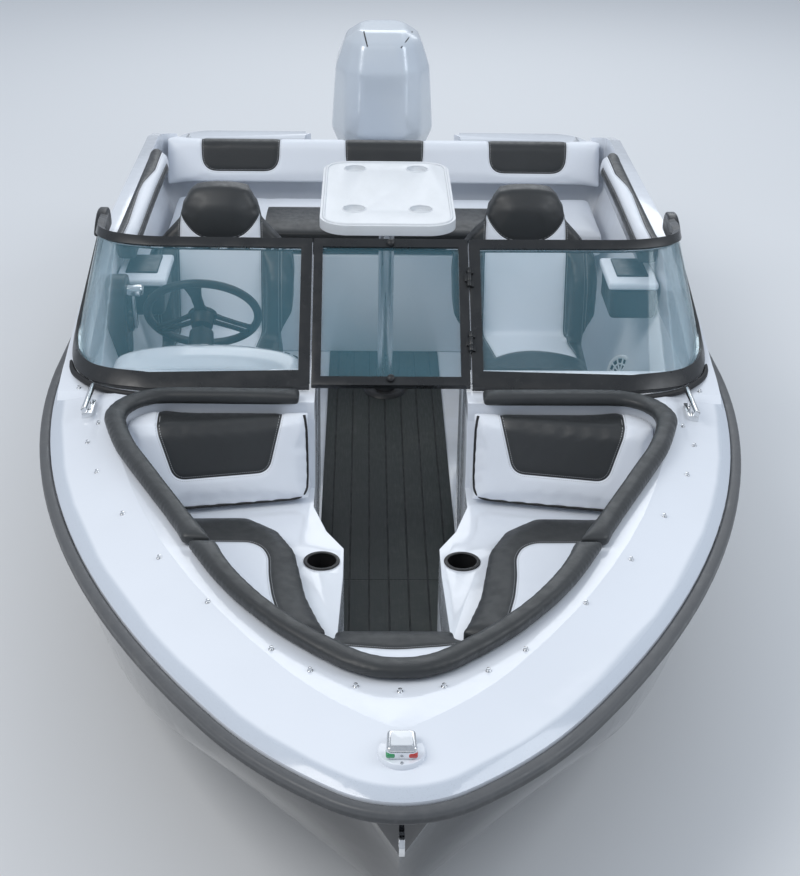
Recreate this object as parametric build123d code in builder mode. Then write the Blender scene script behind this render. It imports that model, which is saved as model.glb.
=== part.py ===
from build123d import *
import os
from math import cos, radians, sin, tan

# Open-bow speedboat with an outboard engine.
# Millimetres. Bow towards -Y, port side +X, +Z up, Z = 0 is the waterline.

# Hull and deck
HALF_BEAM = 1043        # deck edge amidships
BOW_Y = -2528           # deck edge at the stem
STERN_Y = 2510          # outer face of the transom
FULL_BEAM_Y = -372      # from here aft the sides run nearly straight
STERN_HALF = 1018       # deck edge at the transom
STERN_CORNER = 210      # plan radius of the stern corners
NOSE_HALF = 400         # half width where the bow's nose arc meets the side arc
NOSE_BACK = 0.715       # how far aft of the stem that is, as a part of its half width
STEM_PART = 0.325       # half width of the stem's own arc, as a part of the nose's
STEM_BACK = 0.095       # depth of the stem's arc, as a part of the nose's half width
SHEER_Z = 640           # joint of hull and deck
KEEL_Z = -290           # keel at the transom
HULL_FLOOR_Z = 67       # moulded cockpit sole
MAT = 8                 # thickness of the plank mat
FLOOR_Z = HULL_FLOOR_Z + MAT
GAP = 0.3               # seat clearance between separate pieces

# Deck section: inset from the deck edge, height above the hull joint
DECK_SECTION = [(0, 0), (0, 14), (26, 28), (108, 36), (188, 60)]
DECK_TOP_Z = SHEER_Z + DECK_SECTION[-1][1]
RAIL_OUT = 32           # rub rail standing proud of the deck edge
RAIL_HIGH = 32
RAIL_TOP_Z = SHEER_Z + 10

# Bow well
WELL_TIP_Y = -2142      # bow opening on the centreline
# points on the opening's outline, from the tip round to the bulkhead under the windshield
WELL = [(120, -2100), (339, -1873), (470, -1650), (722, -1130), (800, -905), (660, -727)]
WELL_AFT_Y = WELL[-1][1]
WELL_FLOOR_Z = 250      # underside of the bow seat moulding
BOLSTER_IN = 34         # bolster inboard of the opening's edge
BOLSTER_OUT = 40        # bolster lying on the deck
BOLSTER_HIGH = 40
BOLSTER_SPLIT_Y = -1600
BOW_SEAT_Z = 410        # top of the bow seat moulding
BOW_SIT = 52            # cushion thickness
# half width and place of the walk-through between the bow seats
CORRIDOR = [(150, -1575), (138, -1250), (138, -1100), (190, -1000), (232, -850)]
CORRIDOR_HALF = 232
CUP = (200, -1173)
CUP_R = 44
CUP_DEEP = 80
CUP_RIM = 8

# Cockpit
COCKPIT_FRONT_Y = -480
COCKPIT_BACK_Y = 1725   # aft wall, behind the bench
COCKPIT_HALF = 960      # at the deck
COCKPIT_FOOT = 800      # at the sole
COCKPIT_CORNER = 60
CONSOLE_WALL = 34
ENGINE_WELL_Y = 1905
ENGINE_WELL_Z = 170
TRANSOM_Z = 330         # top of the transom in the engine notch
TRANSOM_THICK = 62
NOTCH_HALF = 370        # engine well and notch, wide enough for a steered, tilted engine
SKIN = 40               # hull skin outside the cockpit liner
LINER_Z = HULL_FLOOR_Z - 30


def plan_face(inset, z, half=HALF_BEAM, tip=BOW_Y, nose=NOSE_HALF, full_y=FULL_BEAM_Y,
              stern=STERN_HALF, corner=STERN_CORNER):
    """A horizontal outline of the boat at height z, set in from the deck edge."""
    turn = corner - inset
    side_x = stern - inset
    turn_y = STERN_Y - inset - turn
    bend = turn * (1 - cos(radians(45)))
    # the inset is taken square to the outline, which runs 43 and then 57 degrees off the centreline
    nose_at = (nose - 0.73 * inset, tip + NOSE_BACK * nose + 0.68 * inset)
    stem_at = (STEM_PART * nose - 0.54 * inset, tip + STEM_BACK * nose + 0.84 * inset)
    tip_y = tip + inset
    with BuildSketch(Plane.XY.offset(z)) as sketch:
        with BuildLine() as line:
            side = TangentArc((half - inset, full_y), nose_at, tangent=(0, -1))
            TangentArc(side @ 1, stem_at, tangent=side % 1)
            ThreePointArc(stem_at, (stem_at[0] / 2, tip_y + (stem_at[1] - tip_y) / 4), (0, tip_y))
            Line((half - inset, full_y), (side_x, turn_y))
            ThreePointArc((side_x, turn_y), (side_x - bend, STERN_Y - inset - bend),
                          (side_x - turn, STERN_Y - inset))
            Line((side_x - turn, STERN_Y - inset), (0, STERN_Y - inset))
            mirror(line.line, about=Plane.YZ)
        make_face()
    return sketch.sketch


def well_face(grow, z):
    """The bow opening's outline at height z, grown outward by a distance."""
    with BuildSketch(Plane.XY.offset(z)) as sketch:
        with BuildLine() as line:
            bend = TangentArc((0, WELL_TIP_Y), WELL[0], tangent=(1, 0))
            bend = TangentArc(bend @ 1, WELL[1], tangent=bend % 1)
            TangentArc(bend @ 1, WELL[2], tangent=bend % 1)
            run = Line(WELL[2], WELL[3])
            bend = TangentArc(WELL[3], WELL[4], tangent=run % 1)
            TangentArc(bend @ 1, WELL[5], tangent=bend % 1)
            Line(WELL[5], (0, WELL_AFT_Y))
            mirror(line.line, about=Plane.YZ)
        make_face()
        if grow:
            offset(amount=grow)
    return sketch.sketch


def corridor_face(z, back_y=COCKPIT_FRONT_Y, grow=0.0):
    """The walk-through between the bow seats, on to the consoles."""
    half = [(x + grow, y - grow) for x, y in CORRIDOR] + [(CORRIDOR_HALF + grow, back_y)]
    with BuildSketch(Plane.XY.offset(z)) as sketch:
        with BuildLine():
            Polyline(*half, *[(-x, y) for x, y in reversed(half)], close=True)
        make_face()
    return sketch.sketch


def cockpit_face(z, half):
    with BuildSketch(Plane.XY.offset(z)) as sketch:
        with Locations((0, (COCKPIT_FRONT_Y + COCKPIT_BACK_Y) / 2)):
            RectangleRounded(2 * half, COCKPIT_BACK_Y - COCKPIT_FRONT_Y, COCKPIT_CORNER)
    return sketch.sketch


def block(x, y, z, mode=Mode.ADD):
    """A box in the part being made, from three pairs of limits."""
    with Locations((sum(x) / 2, sum(y) / 2, sum(z) / 2)):
        Box(x[1] - x[0], y[1] - y[0], z[1] - z[0], mode=mode)


def wall_half(z):
    """Half width between the cockpit's side walls at height z, less the seat clearance."""
    part_way = (z - HULL_FLOOR_Z) / (SHEER_Z - HULL_FLOOR_Z)
    return COCKPIT_FOOT + part_way * (COCKPIT_HALF - COCKPIT_FOOT) - GAP


pieces = {}


def keep(name, shape):
    shape.label = name
    pieces[name] = shape


# height, half beam, stem, half width of the nose, start of the straight side, half width at stern
HULL_LEVELS = [
    (-420, 820, -1500, 230, 200, 800),
    (-60, 930, -2120, 260, -120, 925),
    (280, 1000, -2400, 300, -280, 985),
    (SHEER_Z, HALF_BEAM, BOW_Y, NOSE_HALF, FULL_BEAM_Y, STERN_HALF),
]
LINER_LIFT = 50         # hull skin under the liner's V, upright
# station, keel height, deadrise in degrees
KEEL_LINE = [
    (2700, KEEL_Z, 17),
    (1900, KEEL_Z, 17),
    (1100, KEEL_Z, 17.5),
    (300, KEEL_Z, 18.5),
    (-500, KEEL_Z + 10, 21),
    (-1200, KEEL_Z + 50, 28),
    (-1800, KEEL_Z + 160, 38),
    (-2250, KEEL_Z + 430, 52),
    (-2560, KEEL_Z + 800, 62),
]
WEDGE_HALF = 1400
WEDGE_TOP = 4200


def hull_form(inset, lift, foot):
    """The hull's solid form, set in and lifted by a skin, above height foot."""
    with BuildPart() as v_bottom:
        for y, keel, rise in KEEL_LINE:
            low = keel + lift
            side = low + WEDGE_HALF * tan(radians(rise))
            with BuildSketch(Plane.XZ.offset(-y)):
                with BuildLine():
                    Polyline((0, low), (WEDGE_HALF, side), (WEDGE_HALF, WEDGE_TOP),
                             (-WEDGE_HALF, WEDGE_TOP), (-WEDGE_HALF, side), close=True)
                make_face()
        loft()
    with BuildPart() as form:
        for z, half, tip, nose, full_y, stern in HULL_LEVELS:
            add(plan_face(inset, z, half, tip, nose, full_y, stern))
        loft()
        add(v_bottom.part, mode=Mode.INTERSECT)
        block((-WEDGE_HALF, WEDGE_HALF), (-2 * STERN_Y, 2 * STERN_Y), (foot, SHEER_Z), Mode.INTERSECT)
    return form.part


with BuildPart() as cockpit_room:
    add(cockpit_face(HULL_FLOOR_Z, COCKPIT_FOOT))
    add(cockpit_face(SHEER_Z, COCKPIT_HALF))
    loft(ruled=True)

# Everything that the cockpit, the bow seats and the engine take out of hull and liner
with BuildPart() as rooms:
    add(well_face(0, WELL_FLOOR_Z))
    extrude(amount=SHEER_Z)
    add(corridor_face(HULL_FLOOR_Z))
    extrude(amount=SHEER_Z)
    add(cockpit_room.part)
    with BuildSketch(Plane.XY.offset(ENGINE_WELL_Z)):
        with Locations((0, (ENGINE_WELL_Y + STERN_Y - TRANSOM_THICK) / 2)):
            RectangleRounded(2 * NOTCH_HALF, STERN_Y - TRANSOM_THICK - ENGINE_WELL_Y, 60)
    extrude(amount=SHEER_Z)
    block((-NOTCH_HALF, NOTCH_HALF), (STERN_Y - TRANSOM_THICK - 10, STERN_Y + 10),
          (TRANSOM_Z, 2 * SHEER_Z))

with BuildPart() as hull:
    add(hull_form(0, 0, KEEL_Z - 10))
    add(hull_form(SKIN, LINER_LIFT, LINER_Z), mode=Mode.SUBTRACT)
    add(rooms.part, mode=Mode.SUBTRACT)
keep("hull", hull.part)

with BuildPart() as cockpit_liner:
    add(hull_form(SKIN + GAP, LINER_LIFT + GAP, LINER_Z + GAP))
    add(rooms.part, mode=Mode.SUBTRACT)
keep("cockpit_liner", cockpit_liner.part)

# Deck: one moulding from the sheer up, with the bow opening, cockpit and engine well cut out
HUMP = [(COCKPIT_BACK_Y, 0), (COCKPIT_BACK_Y, 130), (1905, 90), (2250, 0)]   # behind the bench
HUMP_HALF = 880
# raised coaming along the cockpit, side view: it climbs under the windshield's wings
COAMING_Z = 868
COAMING = [(-700, SHEER_Z), (-700, 650), (-620, 684), (-548, 692), (-430, 703.7), (-300, 735.7),
           (230, 866), (250, COAMING_Z), (1560, COAMING_Z), (1740, 830), (1880, 740), (1960, SHEER_Z)]
COAMING_LEAN = (10, 22)     # inset of its outer face from the deck edge, at the foot and at the top
with BuildPart() as coaming:
    with BuildSketch(Plane.YZ.offset(HUMP_HALF)):
        with BuildLine():
            Polyline(*COAMING, close=True)
        make_face()
    raised = extrude(amount=HALF_BEAM - HUMP_HALF)
    mirror(raised, about=Plane.YZ)
with BuildPart() as coaming_plan:
    add(plan_face(COAMING_LEAN[0], SHEER_Z))
    add(plan_face(COAMING_LEAN[1], COAMING_Z))
    loft(ruled=True)
with BuildPart() as deck:
    for inset, high in DECK_SECTION:
        add(plan_face(inset, SHEER_Z + high))
    loft(ruled=True)
    with BuildSketch(Plane.YZ.offset(NOTCH_HALF)):
        with BuildLine():
            Polyline(*[(y, DECK_TOP_Z - 10 + h) for y, h in HUMP], close=True)
        make_face()
    hump = extrude(amount=HUMP_HALF - NOTCH_HALF)
    mirror(hump, about=Plane.YZ)
    add(coaming.part & coaming_plan.part)
    add(well_face(0, SHEER_Z))
    extrude(amount=SHEER_Z, mode=Mode.SUBTRACT)
    add(corridor_face(SHEER_Z))
    extrude(amount=SHEER_Z, mode=Mode.SUBTRACT)
    add(cockpit_face(SHEER_Z, COCKPIT_HALF))
    extrude(amount=SHEER_Z, mode=Mode.SUBTRACT)
    with BuildSketch(Plane.XY.offset(SHEER_Z)):
        with Locations((0, (ENGINE_WELL_Y + STERN_Y + 200) / 2)):
            Rectangle(2 * NOTCH_HALF, STERN_Y + 200 - ENGINE_WELL_Y)
    extrude(amount=SHEER_Z, mode=Mode.SUBTRACT)
keep("deck", deck.part)

with BuildPart() as rub_rail:
    add(plan_face(-RAIL_OUT, RAIL_TOP_Z - RAIL_HIGH))
    extrude(amount=RAIL_HIGH)
    add(plan_face(-GAP, RAIL_TOP_Z - RAIL_HIGH))
    extrude(amount=RAIL_HIGH, mode=Mode.SUBTRACT)
    block((-NOTCH_HALF, NOTCH_HALF), (STERN_Y - 100, STERN_Y + 100), (0, SHEER_Z + 100),
          Mode.SUBTRACT)
keep("rub_rail", rub_rail.part)

# Bow seat moulding with its two cup holders
with BuildPart() as bow_seat_base:
    add(well_face(-GAP, WELL_FLOOR_Z + GAP))
    extrude(amount=BOW_SEAT_Z - WELL_FLOOR_Z - GAP)
    add(corridor_face(WELL_FLOOR_Z - 1, WELL_AFT_Y + 50))
    extrude(amount=SHEER_Z, mode=Mode.SUBTRACT)
    with BuildSketch(Plane.XY.offset(BOW_SEAT_Z)):
        with Locations(CUP, (-CUP[0], CUP[1])):
            Circle(CUP_R)
    extrude(amount=-CUP_DEEP, mode=Mode.SUBTRACT)
keep("bow_seat_base", bow_seat_base.part)

with BuildPart() as cup_rims:
    with BuildSketch(Plane.XY.offset(BOW_SEAT_Z + GAP)):
        with Locations(CUP, (-CUP[0], CUP[1])):
            Circle(CUP_R + CUP_RIM)
            Circle(CUP_R - 3, mode=Mode.SUBTRACT)
    extrude(amount=4)
keep("cup_rims", cup_rims.part)

# Plank mat on the sole, from the bow seats to the bench
BENCH_FRONT_Y = 1125
with BuildPart() as floor_mat:
    add(corridor_face(HULL_FLOOR_Z, COCKPIT_FRONT_Y + 20, grow=-6))
    extrude(amount=MAT)
    block((-CORRIDOR_HALF + 6, CORRIDOR_HALF - 6), (COCKPIT_FRONT_Y, BENCH_FRONT_Y - 6),
          (HULL_FLOOR_Z, FLOOR_Z))
keep("floor_mat", floor_mat.part)

# Bow cushions and backrests
# x, front at the foot, front at the top
BOW_BACK_FOOT_Z = BOW_SEAT_Z + GAP
BOW_BACK_TOP_Z = 692
BOW_BACK = [(236, -843, -757), (790, -950, -868)]
BOW_BACK_REAR_Y = WELL_AFT_Y - 2
SIT_AFT_Y = -985
SIT_INNER = [(415, SIT_AFT_Y), (318, -1060), (262, -1180), (222, -1420), (168, -1600)]
SIT_SPLIT_Y = -1612
FRONT_SIT_HALF = 162

with BuildPart() as well_room:
    add(well_face(-6, WELL_FLOOR_Z))
    extrude(amount=SHEER_Z)

for side, sign in (("port", 1), ("starboard", -1)):
    with BuildPart() as backrest:
        for x, foot, top in BOW_BACK:
            with BuildSketch(Plane.YZ.offset(sign * x)):
                with BuildLine():
                    Polyline((foot, BOW_BACK_FOOT_Z), (top, BOW_BACK_TOP_Z),
                             (BOW_BACK_REAR_Y, BOW_BACK_TOP_Z), (BOW_BACK_REAR_Y, BOW_BACK_FOOT_Z),
                             close=True)
                make_face()
        loft(ruled=True)
        add(well_room.part, mode=Mode.INTERSECT)
    keep(f"bow_backrest_{side}", backrest.part)

    with BuildPart() as cushion:
        with BuildSketch(Plane.XY.offset(BOW_SEAT_Z + GAP)):
            with BuildLine():
                inner = [(sign * x, y) for x, y in SIT_INNER]
                Polyline(*inner, (sign * 168, SIT_SPLIT_Y), (sign * 900, SIT_SPLIT_Y - 240),
                         (sign * 900, SIT_AFT_Y), close=True)
            make_face()
        extrude(amount=BOW_SIT)
        add(well_room.part, mode=Mode.INTERSECT)
    keep(f"bow_cushion_{side}", cushion.part)

with BuildPart() as front_cushion:
    with BuildSketch(Plane.XY.offset(BOW_SEAT_Z + GAP)):
        with BuildLine():
            Polyline((-900, SIT_SPLIT_Y - 246), (-FRONT_SIT_HALF, SIT_SPLIT_Y - 6),
                     (-FRONT_SIT_HALF, CORRIDOR[0][1] - 4), (FRONT_SIT_HALF, CORRIDOR[0][1] - 4),
                     (FRONT_SIT_HALF, SIT_SPLIT_Y - 6), (900, SIT_SPLIT_Y - 246),
                     (900, BOW_Y), (-900, BOW_Y), close=True)
        make_face()
    extrude(amount=BOW_SIT)
    add(well_room.part, mode=Mode.INTERSECT)
keep("bow_cushion_front", front_cushion.part)

# Padded bolsters round the bow opening: one front piece and two side pieces
with BuildPart() as bolster_ring:
    add(well_face(BOLSTER_OUT, DECK_TOP_Z + GAP))
    extrude(amount=BOLSTER_HIGH)
    add(well_face(-BOLSTER_IN, DECK_TOP_Z))
    extrude(amount=SHEER_Z, mode=Mode.SUBTRACT)
    block((-270, 270), (-900, 0), (SHEER_Z, SHEER_Z + 200), Mode.SUBTRACT)

with BuildPart() as bolster_front:
    add(bolster_ring.part)
    block((-1200, 1200), (BOLSTER_SPLIT_Y - 2, 0), (0, 1000), Mode.SUBTRACT)
keep("bolster_front", bolster_front.part)
for side, sign in (("port", 1), ("starboard", -1)):
    with BuildPart() as bolster_side:
        add(bolster_ring.part)
        block(sorted((0, sign * 1200)), (BOLSTER_SPLIT_Y + 2, 0), (0, 1000), Mode.INTERSECT)
    keep(f"bolster_{side}", bolster_side.part)

# Consoles, left open below for the legs: a domed dash at the helm, a low locker to port
CONSOLE_OUT = 780
CONSOLE_FOOT_Z = 470
WALL_FOOT_Z = HULL_FLOOR_Z + GAP
WALL_TOP_Z = 600
DASH_FRONT_Y = COCKPIT_FRONT_Y + 2
# side views, y and z, and the aft end of the wall beside the walk-through
HELM_FACE = [(DASH_FRONT_Y, CONSOLE_FOOT_Z), (DASH_FRONT_Y, 690), (-330, 668), (-160, 610), (-100, 550),
             (-70, CONSOLE_FOOT_Z)]
HELM_WALL_Y = -110
LOCKER_FACE = [(DASH_FRONT_Y, CONSOLE_FOOT_Z), (DASH_FRONT_Y, 640), (-345, 606), (-300, 570),
               (-330, CONSOLE_FOOT_Z)]
LOCKER_WALL_Y = -290
HOOD = [(DASH_FRONT_Y, 655), (DASH_FRONT_Y, 706), (-430, 728), (-380, 734), (-330, 716), (-150, 634),
        (-122, 600), (-150, 588)]
HOOD_X = (285, 884)     # ends of the hood's arch
HOOD_FOOT_Z = 672
HOOD_TOP_Z = 734


def hood_arch(sign):
    near, far = sign * HOOD_X[0], sign * HOOD_X[1]
    with BuildPart() as arch:
        with BuildSketch(Plane.YZ.offset(near)):
            with BuildLine():
                Polyline(*HOOD, close=True)
            make_face()
        extrude(amount=far - near)
        with BuildSketch(Plane.XZ.offset(-COCKPIT_FRONT_Y)):
            with BuildLine():
                ThreePointArc((near, HOOD_FOOT_Z), ((near + far) / 2, HOOD_TOP_Z), (far, HOOD_FOOT_Z))
                Polyline((far, HOOD_FOOT_Z), (far, CONSOLE_FOOT_Z), (near, CONSOLE_FOOT_Z),
                         (near, HOOD_FOOT_Z))
            make_face()
        extrude(amount=COCKPIT_FRONT_Y, mode=Mode.INTERSECT)
    return arch.part


def console(sign, face, wall_y):
    with BuildPart() as pod:
        with BuildSketch(Plane.YZ.offset(sign * CORRIDOR_HALF)):
            with BuildLine():
                Polyline(*face, close=True)
            make_face()
        extrude(amount=sign * (CONSOLE_OUT - CORRIDOR_HALF))
        wall_x = sorted((sign * CORRIDOR_HALF, sign * (CORRIDOR_HALF + CONSOLE_WALL)))
        block(wall_x, (DASH_FRONT_Y, wall_y), (WALL_FOOT_Z, WALL_TOP_Z))
    return pod.part


# Steering wheel and helm
WHEEL = (-631, -30, 702)
WHEEL_TILT = 35.6       # degrees of the shaft above level
WHEEL_R = 190
RIM_R = 14
SPOKE = 34
HUB_R = 38
HUB_BACK = 30           # hub behind the wheel's plane
SHAFT_R = 9.5
FIT = 0.05
HELM_BOSS_R = 42
wheel_axis = Vector(0, cos(radians(WHEEL_TILT)), sin(radians(WHEEL_TILT)))
wheel_plane = Plane(origin=WHEEL, x_dir=(1, 0, 0), z_dir=wheel_axis)
BOSS_FROM, BOSS_TO = 175, 78     # below the wheel's plane, along the shaft

with BuildPart() as helm_console:
    add(console(-1, HELM_FACE, HELM_WALL_Y))
    add(hood_arch(-1))
    with BuildSketch(wheel_plane.offset(-BOSS_TO)):
        Circle(HELM_BOSS_R)
    extrude(amount=-(BOSS_FROM - BOSS_TO))
    with BuildSketch(wheel_plane.offset(-BOSS_TO + 1)):
        Circle(SHAFT_R + FIT)
    extrude(amount=-(BOSS_FROM - BOSS_TO + 1), mode=Mode.SUBTRACT)
    add(deck.part, mode=Mode.SUBTRACT)
keep("helm_console", helm_console.part)
keep("port_console", console(1, LOCKER_FACE, LOCKER_WALL_Y))

with BuildPart() as steering_wheel:
    with BuildSketch(Plane(origin=WHEEL, x_dir=wheel_axis, z_dir=(1, 0, 0))):
        with Locations((0, WHEEL_R)):
            Circle(RIM_R)
    revolve(axis=Axis(WHEEL, wheel_axis))
    with BuildSketch(wheel_plane.offset(-HUB_BACK)):
        Circle(HUB_R)
    extrude(amount=HUB_BACK + 4)
    with BuildSketch(wheel_plane.offset(-12)):
        with PolarLocations(WHEEL_R / 2, 3, start_angle=-90):
            Rectangle(WHEEL_R, SPOKE)
    extrude(amount=10)
    with BuildSketch(wheel_plane.offset(-HUB_BACK)):
        Circle(SHAFT_R)
    extrude(amount=-(BOSS_FROM - HUB_BACK - 5))
keep("steering_wheel", steering_wheel.part)

THROTTLE = (-882, 60, 586)      # inner face of the control box on the side wall
with BuildPart() as throttle_control:
    tx, ty, tz = THROTTLE
    with BuildSketch(Plane.XZ.offset(-(ty - 70))):
        with BuildLine():
            low, high = tz - 60, tz + 45
            Polyline((-wall_half(low), low), (tx, low), (tx, high), (-wall_half(high), high), close=True)
        make_face()
    extrude(amount=-130)
    block((tx, tx + 16), (ty - 22, ty + 6), (tz - 20, tz + 120))
    block((tx - 28, tx + 34), (ty - 26, ty + 10), (tz + 120, tz + 152))
keep("throttle_control", throttle_control.part)

# Windshield, port side: a flat front pane, a curved corner and a wing running aft.
# base, top and plan direction in degrees of the section at each station
WS_THICK = 24
WS_RAIL = 34
WS_FOOT_RAIL = 56       # deeper rail along the deck
WS_GLASS = 6
WS = [
    ((250, -648, 711), (250, -232, 1040), 0),
    ((740, -668, 711), (722, -226, 1040), -6),
    ((860, -631, 708), (828, -205, 1039), -30),
    ((948, -548, 700), (906, -155, 1036), -52),
    ((994, -430, 708), (945, -78, 1029), -72),
    ((1006, -300, 738), (957, 10, 1020), -86),
    ((1006, 230, 868), (992, 305, 950), -89),
]
WS_FLAT = 2             # sections in the flat front pane
WS_DOOR_HALF = 244
WS_HINGE_OUT = 20       # hinge axis ahead of the panel's middle plane
HINGE_X = (WS_DOOR_HALF + WS[0][0][0]) / 2
HINGE_AT = (-110, 120)  # places of the two hinges along the post, from its middle
HINGE_R = 7
HINGE_PIN_R = 3
HINGE_HALF = 14         # half length of the middle knuckle
HINGE_LONG = 18         # length of each outer knuckle
HINGE_LEAF = 9          # thickness of a leaf
HINGE_LEAF_DROP = 4.5   # leaf's middle, from the hinge axis towards the panel


def strip(stations, sign, thick, low, high):
    """A raked strip of windshield: low and high are set in from base and top."""
    with BuildPart() as made:
        for part in (stations[:WS_FLAT], stations[WS_FLAT - 1:-1], stations[-2:]):
            for base, top, turn in part:
                foot = Vector(sign * base[0], base[1], base[2])
                head = Vector(sign * top[0], top[1], top[2])
                up = (head - foot).normalized()
                along = Vector(sign * cos(radians(turn)), -sin(radians(turn)), 0)
                across = along.cross(up).normalized()
                long = (head - foot).length
                plane = Plane(origin=foot + up * (low + (long - low - high) / 2), x_dir=across,
                              z_dir=across.cross(up))
                with BuildSketch(plane):
                    Rectangle(thick, long - low - high)
            loft()
    return made.part


def moved(stations, start, end):
    """The stations with the first moved outboard and the last moved forward."""
    first, last = stations[0], stations[-1]
    shift_first = tuple((p[0] + start, p[1], p[2]) for p in first[:2])
    shift_last = tuple((p[0], p[1] - end, p[2]) for p in last[:2])
    return [(*shift_first, first[2]), *stations[1:-1], (*shift_last, last[2])]


door_base = Vector(0, WS[0][0][1], WS[0][0][2])
door_top = Vector(0, WS[0][1][1], WS[0][1][2])
door_up = (door_top - door_base).normalized()
DOOR_HIGH = (door_top - door_base).length
door_out = Vector(0, -door_up.Z, door_up.Y)     # forward and up, square to the panel
door_plane = Plane(origin=(door_base + door_top) * 0.5, x_dir=(1, 0, 0), z_dir=door_out)


def knuckle(centre, length, side):
    """A hinge knuckle and its leaf."""
    with BuildPart() as made:
        with BuildSketch(Plane(origin=centre - door_up * (length / 2), x_dir=(1, 0, 0),
                               z_dir=door_up)):
            Circle(HINGE_R)
            with Locations((side * HINGE_R, HINGE_LEAF_DROP)):
                Rectangle(2 * HINGE_R, HINGE_LEAF)
        extrude(amount=length)
    return made.part


def hinge_point(place, shift=0.0):
    at = (door_base + door_top) * 0.5 + door_up * (place + shift) + door_out * WS_HINGE_OUT
    return Vector(HINGE_X, at.Y, at.Z)


def hinge_rods(radius, half):
    with BuildPart() as made:
        for place in HINGE_AT:
            with BuildSketch(Plane(origin=hinge_point(place, -half), x_dir=(1, 0, 0), z_dir=door_up)):
                Circle(radius)
            extrude(amount=2 * half)
    return made.part


for side, sign in (("port", 1), ("starboard", -1)):
    frame = strip(WS, sign, WS_THICK, 0, 0)
    window = strip(moved(WS, WS_RAIL, 60), sign, 3 * WS_THICK, WS_FOOT_RAIL, WS_RAIL)
    with BuildPart() as ws_frame:
        add(frame)
        add(window, mode=Mode.SUBTRACT)
        if sign > 0:
            for place in HINGE_AT:
                for end in (1, -1):
                    add(knuckle(hinge_point(place, end * (HINGE_HALF + 1 + HINGE_LONG / 2)),
                                HINGE_LONG, 1))
            add(hinge_rods(HINGE_PIN_R + FIT, HINGE_HALF + HINGE_LONG + 10), mode=Mode.SUBTRACT)
        add(deck.part, mode=Mode.SUBTRACT)
    keep(f"windshield_frame_{side}", ws_frame.part)
    with BuildPart() as ws_glass:
        add(strip(moved(WS, WS_RAIL + 1, 62), sign, WS_GLASS, WS_FOOT_RAIL + GAP,
                  WS_RAIL + GAP))
    keep(f"windshield_glass_{side}", ws_glass.part)

DOOR_LIFT = 6
DOOR_FRAME = (56, 60)   # both stiles and both rails of the door's frame
with BuildPart() as windshield_door:
    with BuildSketch(door_plane.offset(-WS_THICK / 2)):
        with Locations((0, DOOR_LIFT / 2)):
            Rectangle(2 * WS_DOOR_HALF, DOOR_HIGH - DOOR_LIFT)
            Rectangle(2 * WS_DOOR_HALF - DOOR_FRAME[0], DOOR_HIGH - DOOR_LIFT - DOOR_FRAME[1],
                      mode=Mode.SUBTRACT)
    extrude(amount=WS_THICK)
    for place in HINGE_AT:
        add(knuckle(hinge_point(place), 2 * HINGE_HALF, -1))
    add(hinge_rods(HINGE_PIN_R, HINGE_HALF + HINGE_LONG))
keep("windshield_door", windshield_door.part)
with BuildPart() as door_glass:
    with BuildSketch(door_plane.offset(-WS_GLASS / 2)):
        with Locations((0, DOOR_LIFT / 2)):
            Rectangle(2 * WS_DOOR_HALF - DOOR_FRAME[0] - 2 * GAP,
                      DOOR_HIGH - DOOR_LIFT - DOOR_FRAME[1] - 2 * GAP)
    extrude(amount=WS_GLASS)
keep("door_glass", door_glass.part)

# Bucket seats on box pedestals
SEAT_X = {"helm": -615, "port": 512}
SEAT_Y = 310            # centre of the cushion
SEAT_LONG = 470
SEAT_TOP_Z = 424
SEAT_THICK = 130
BACK_THICK = 90
BACK_TOP_Z = 985
BACK_RAKE = 105
# half width and height of the seat's front view, from the foot up
SEAT_OUTLINE = [(235, 290), (235, 430), (284, 520), (290, 660), (283, 725), (225, 800), (165, 855),
                (150, 925), (100, BACK_TOP_Z)]
SEAT_WIDEST = 290
WING_FROM = 165         # padded wings of the backrest start here, off the seat's middle
WING = 62               # and stand this far ahead of it
WING_Z = (SEAT_TOP_Z - 20, 640, 780)
PEDESTAL = (170, 190)   # half width and half length
PEDESTAL_CORNER = 40
seat_back_y = SEAT_Y + SEAT_LONG / 2
back_front_y = seat_back_y - BACK_THICK


def back_face(z):
    """Front of the raked backrest at height z."""
    return back_front_y + BACK_RAKE * (z - SEAT_TOP_Z) / (BACK_TOP_Z - SEAT_TOP_Z)


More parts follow.
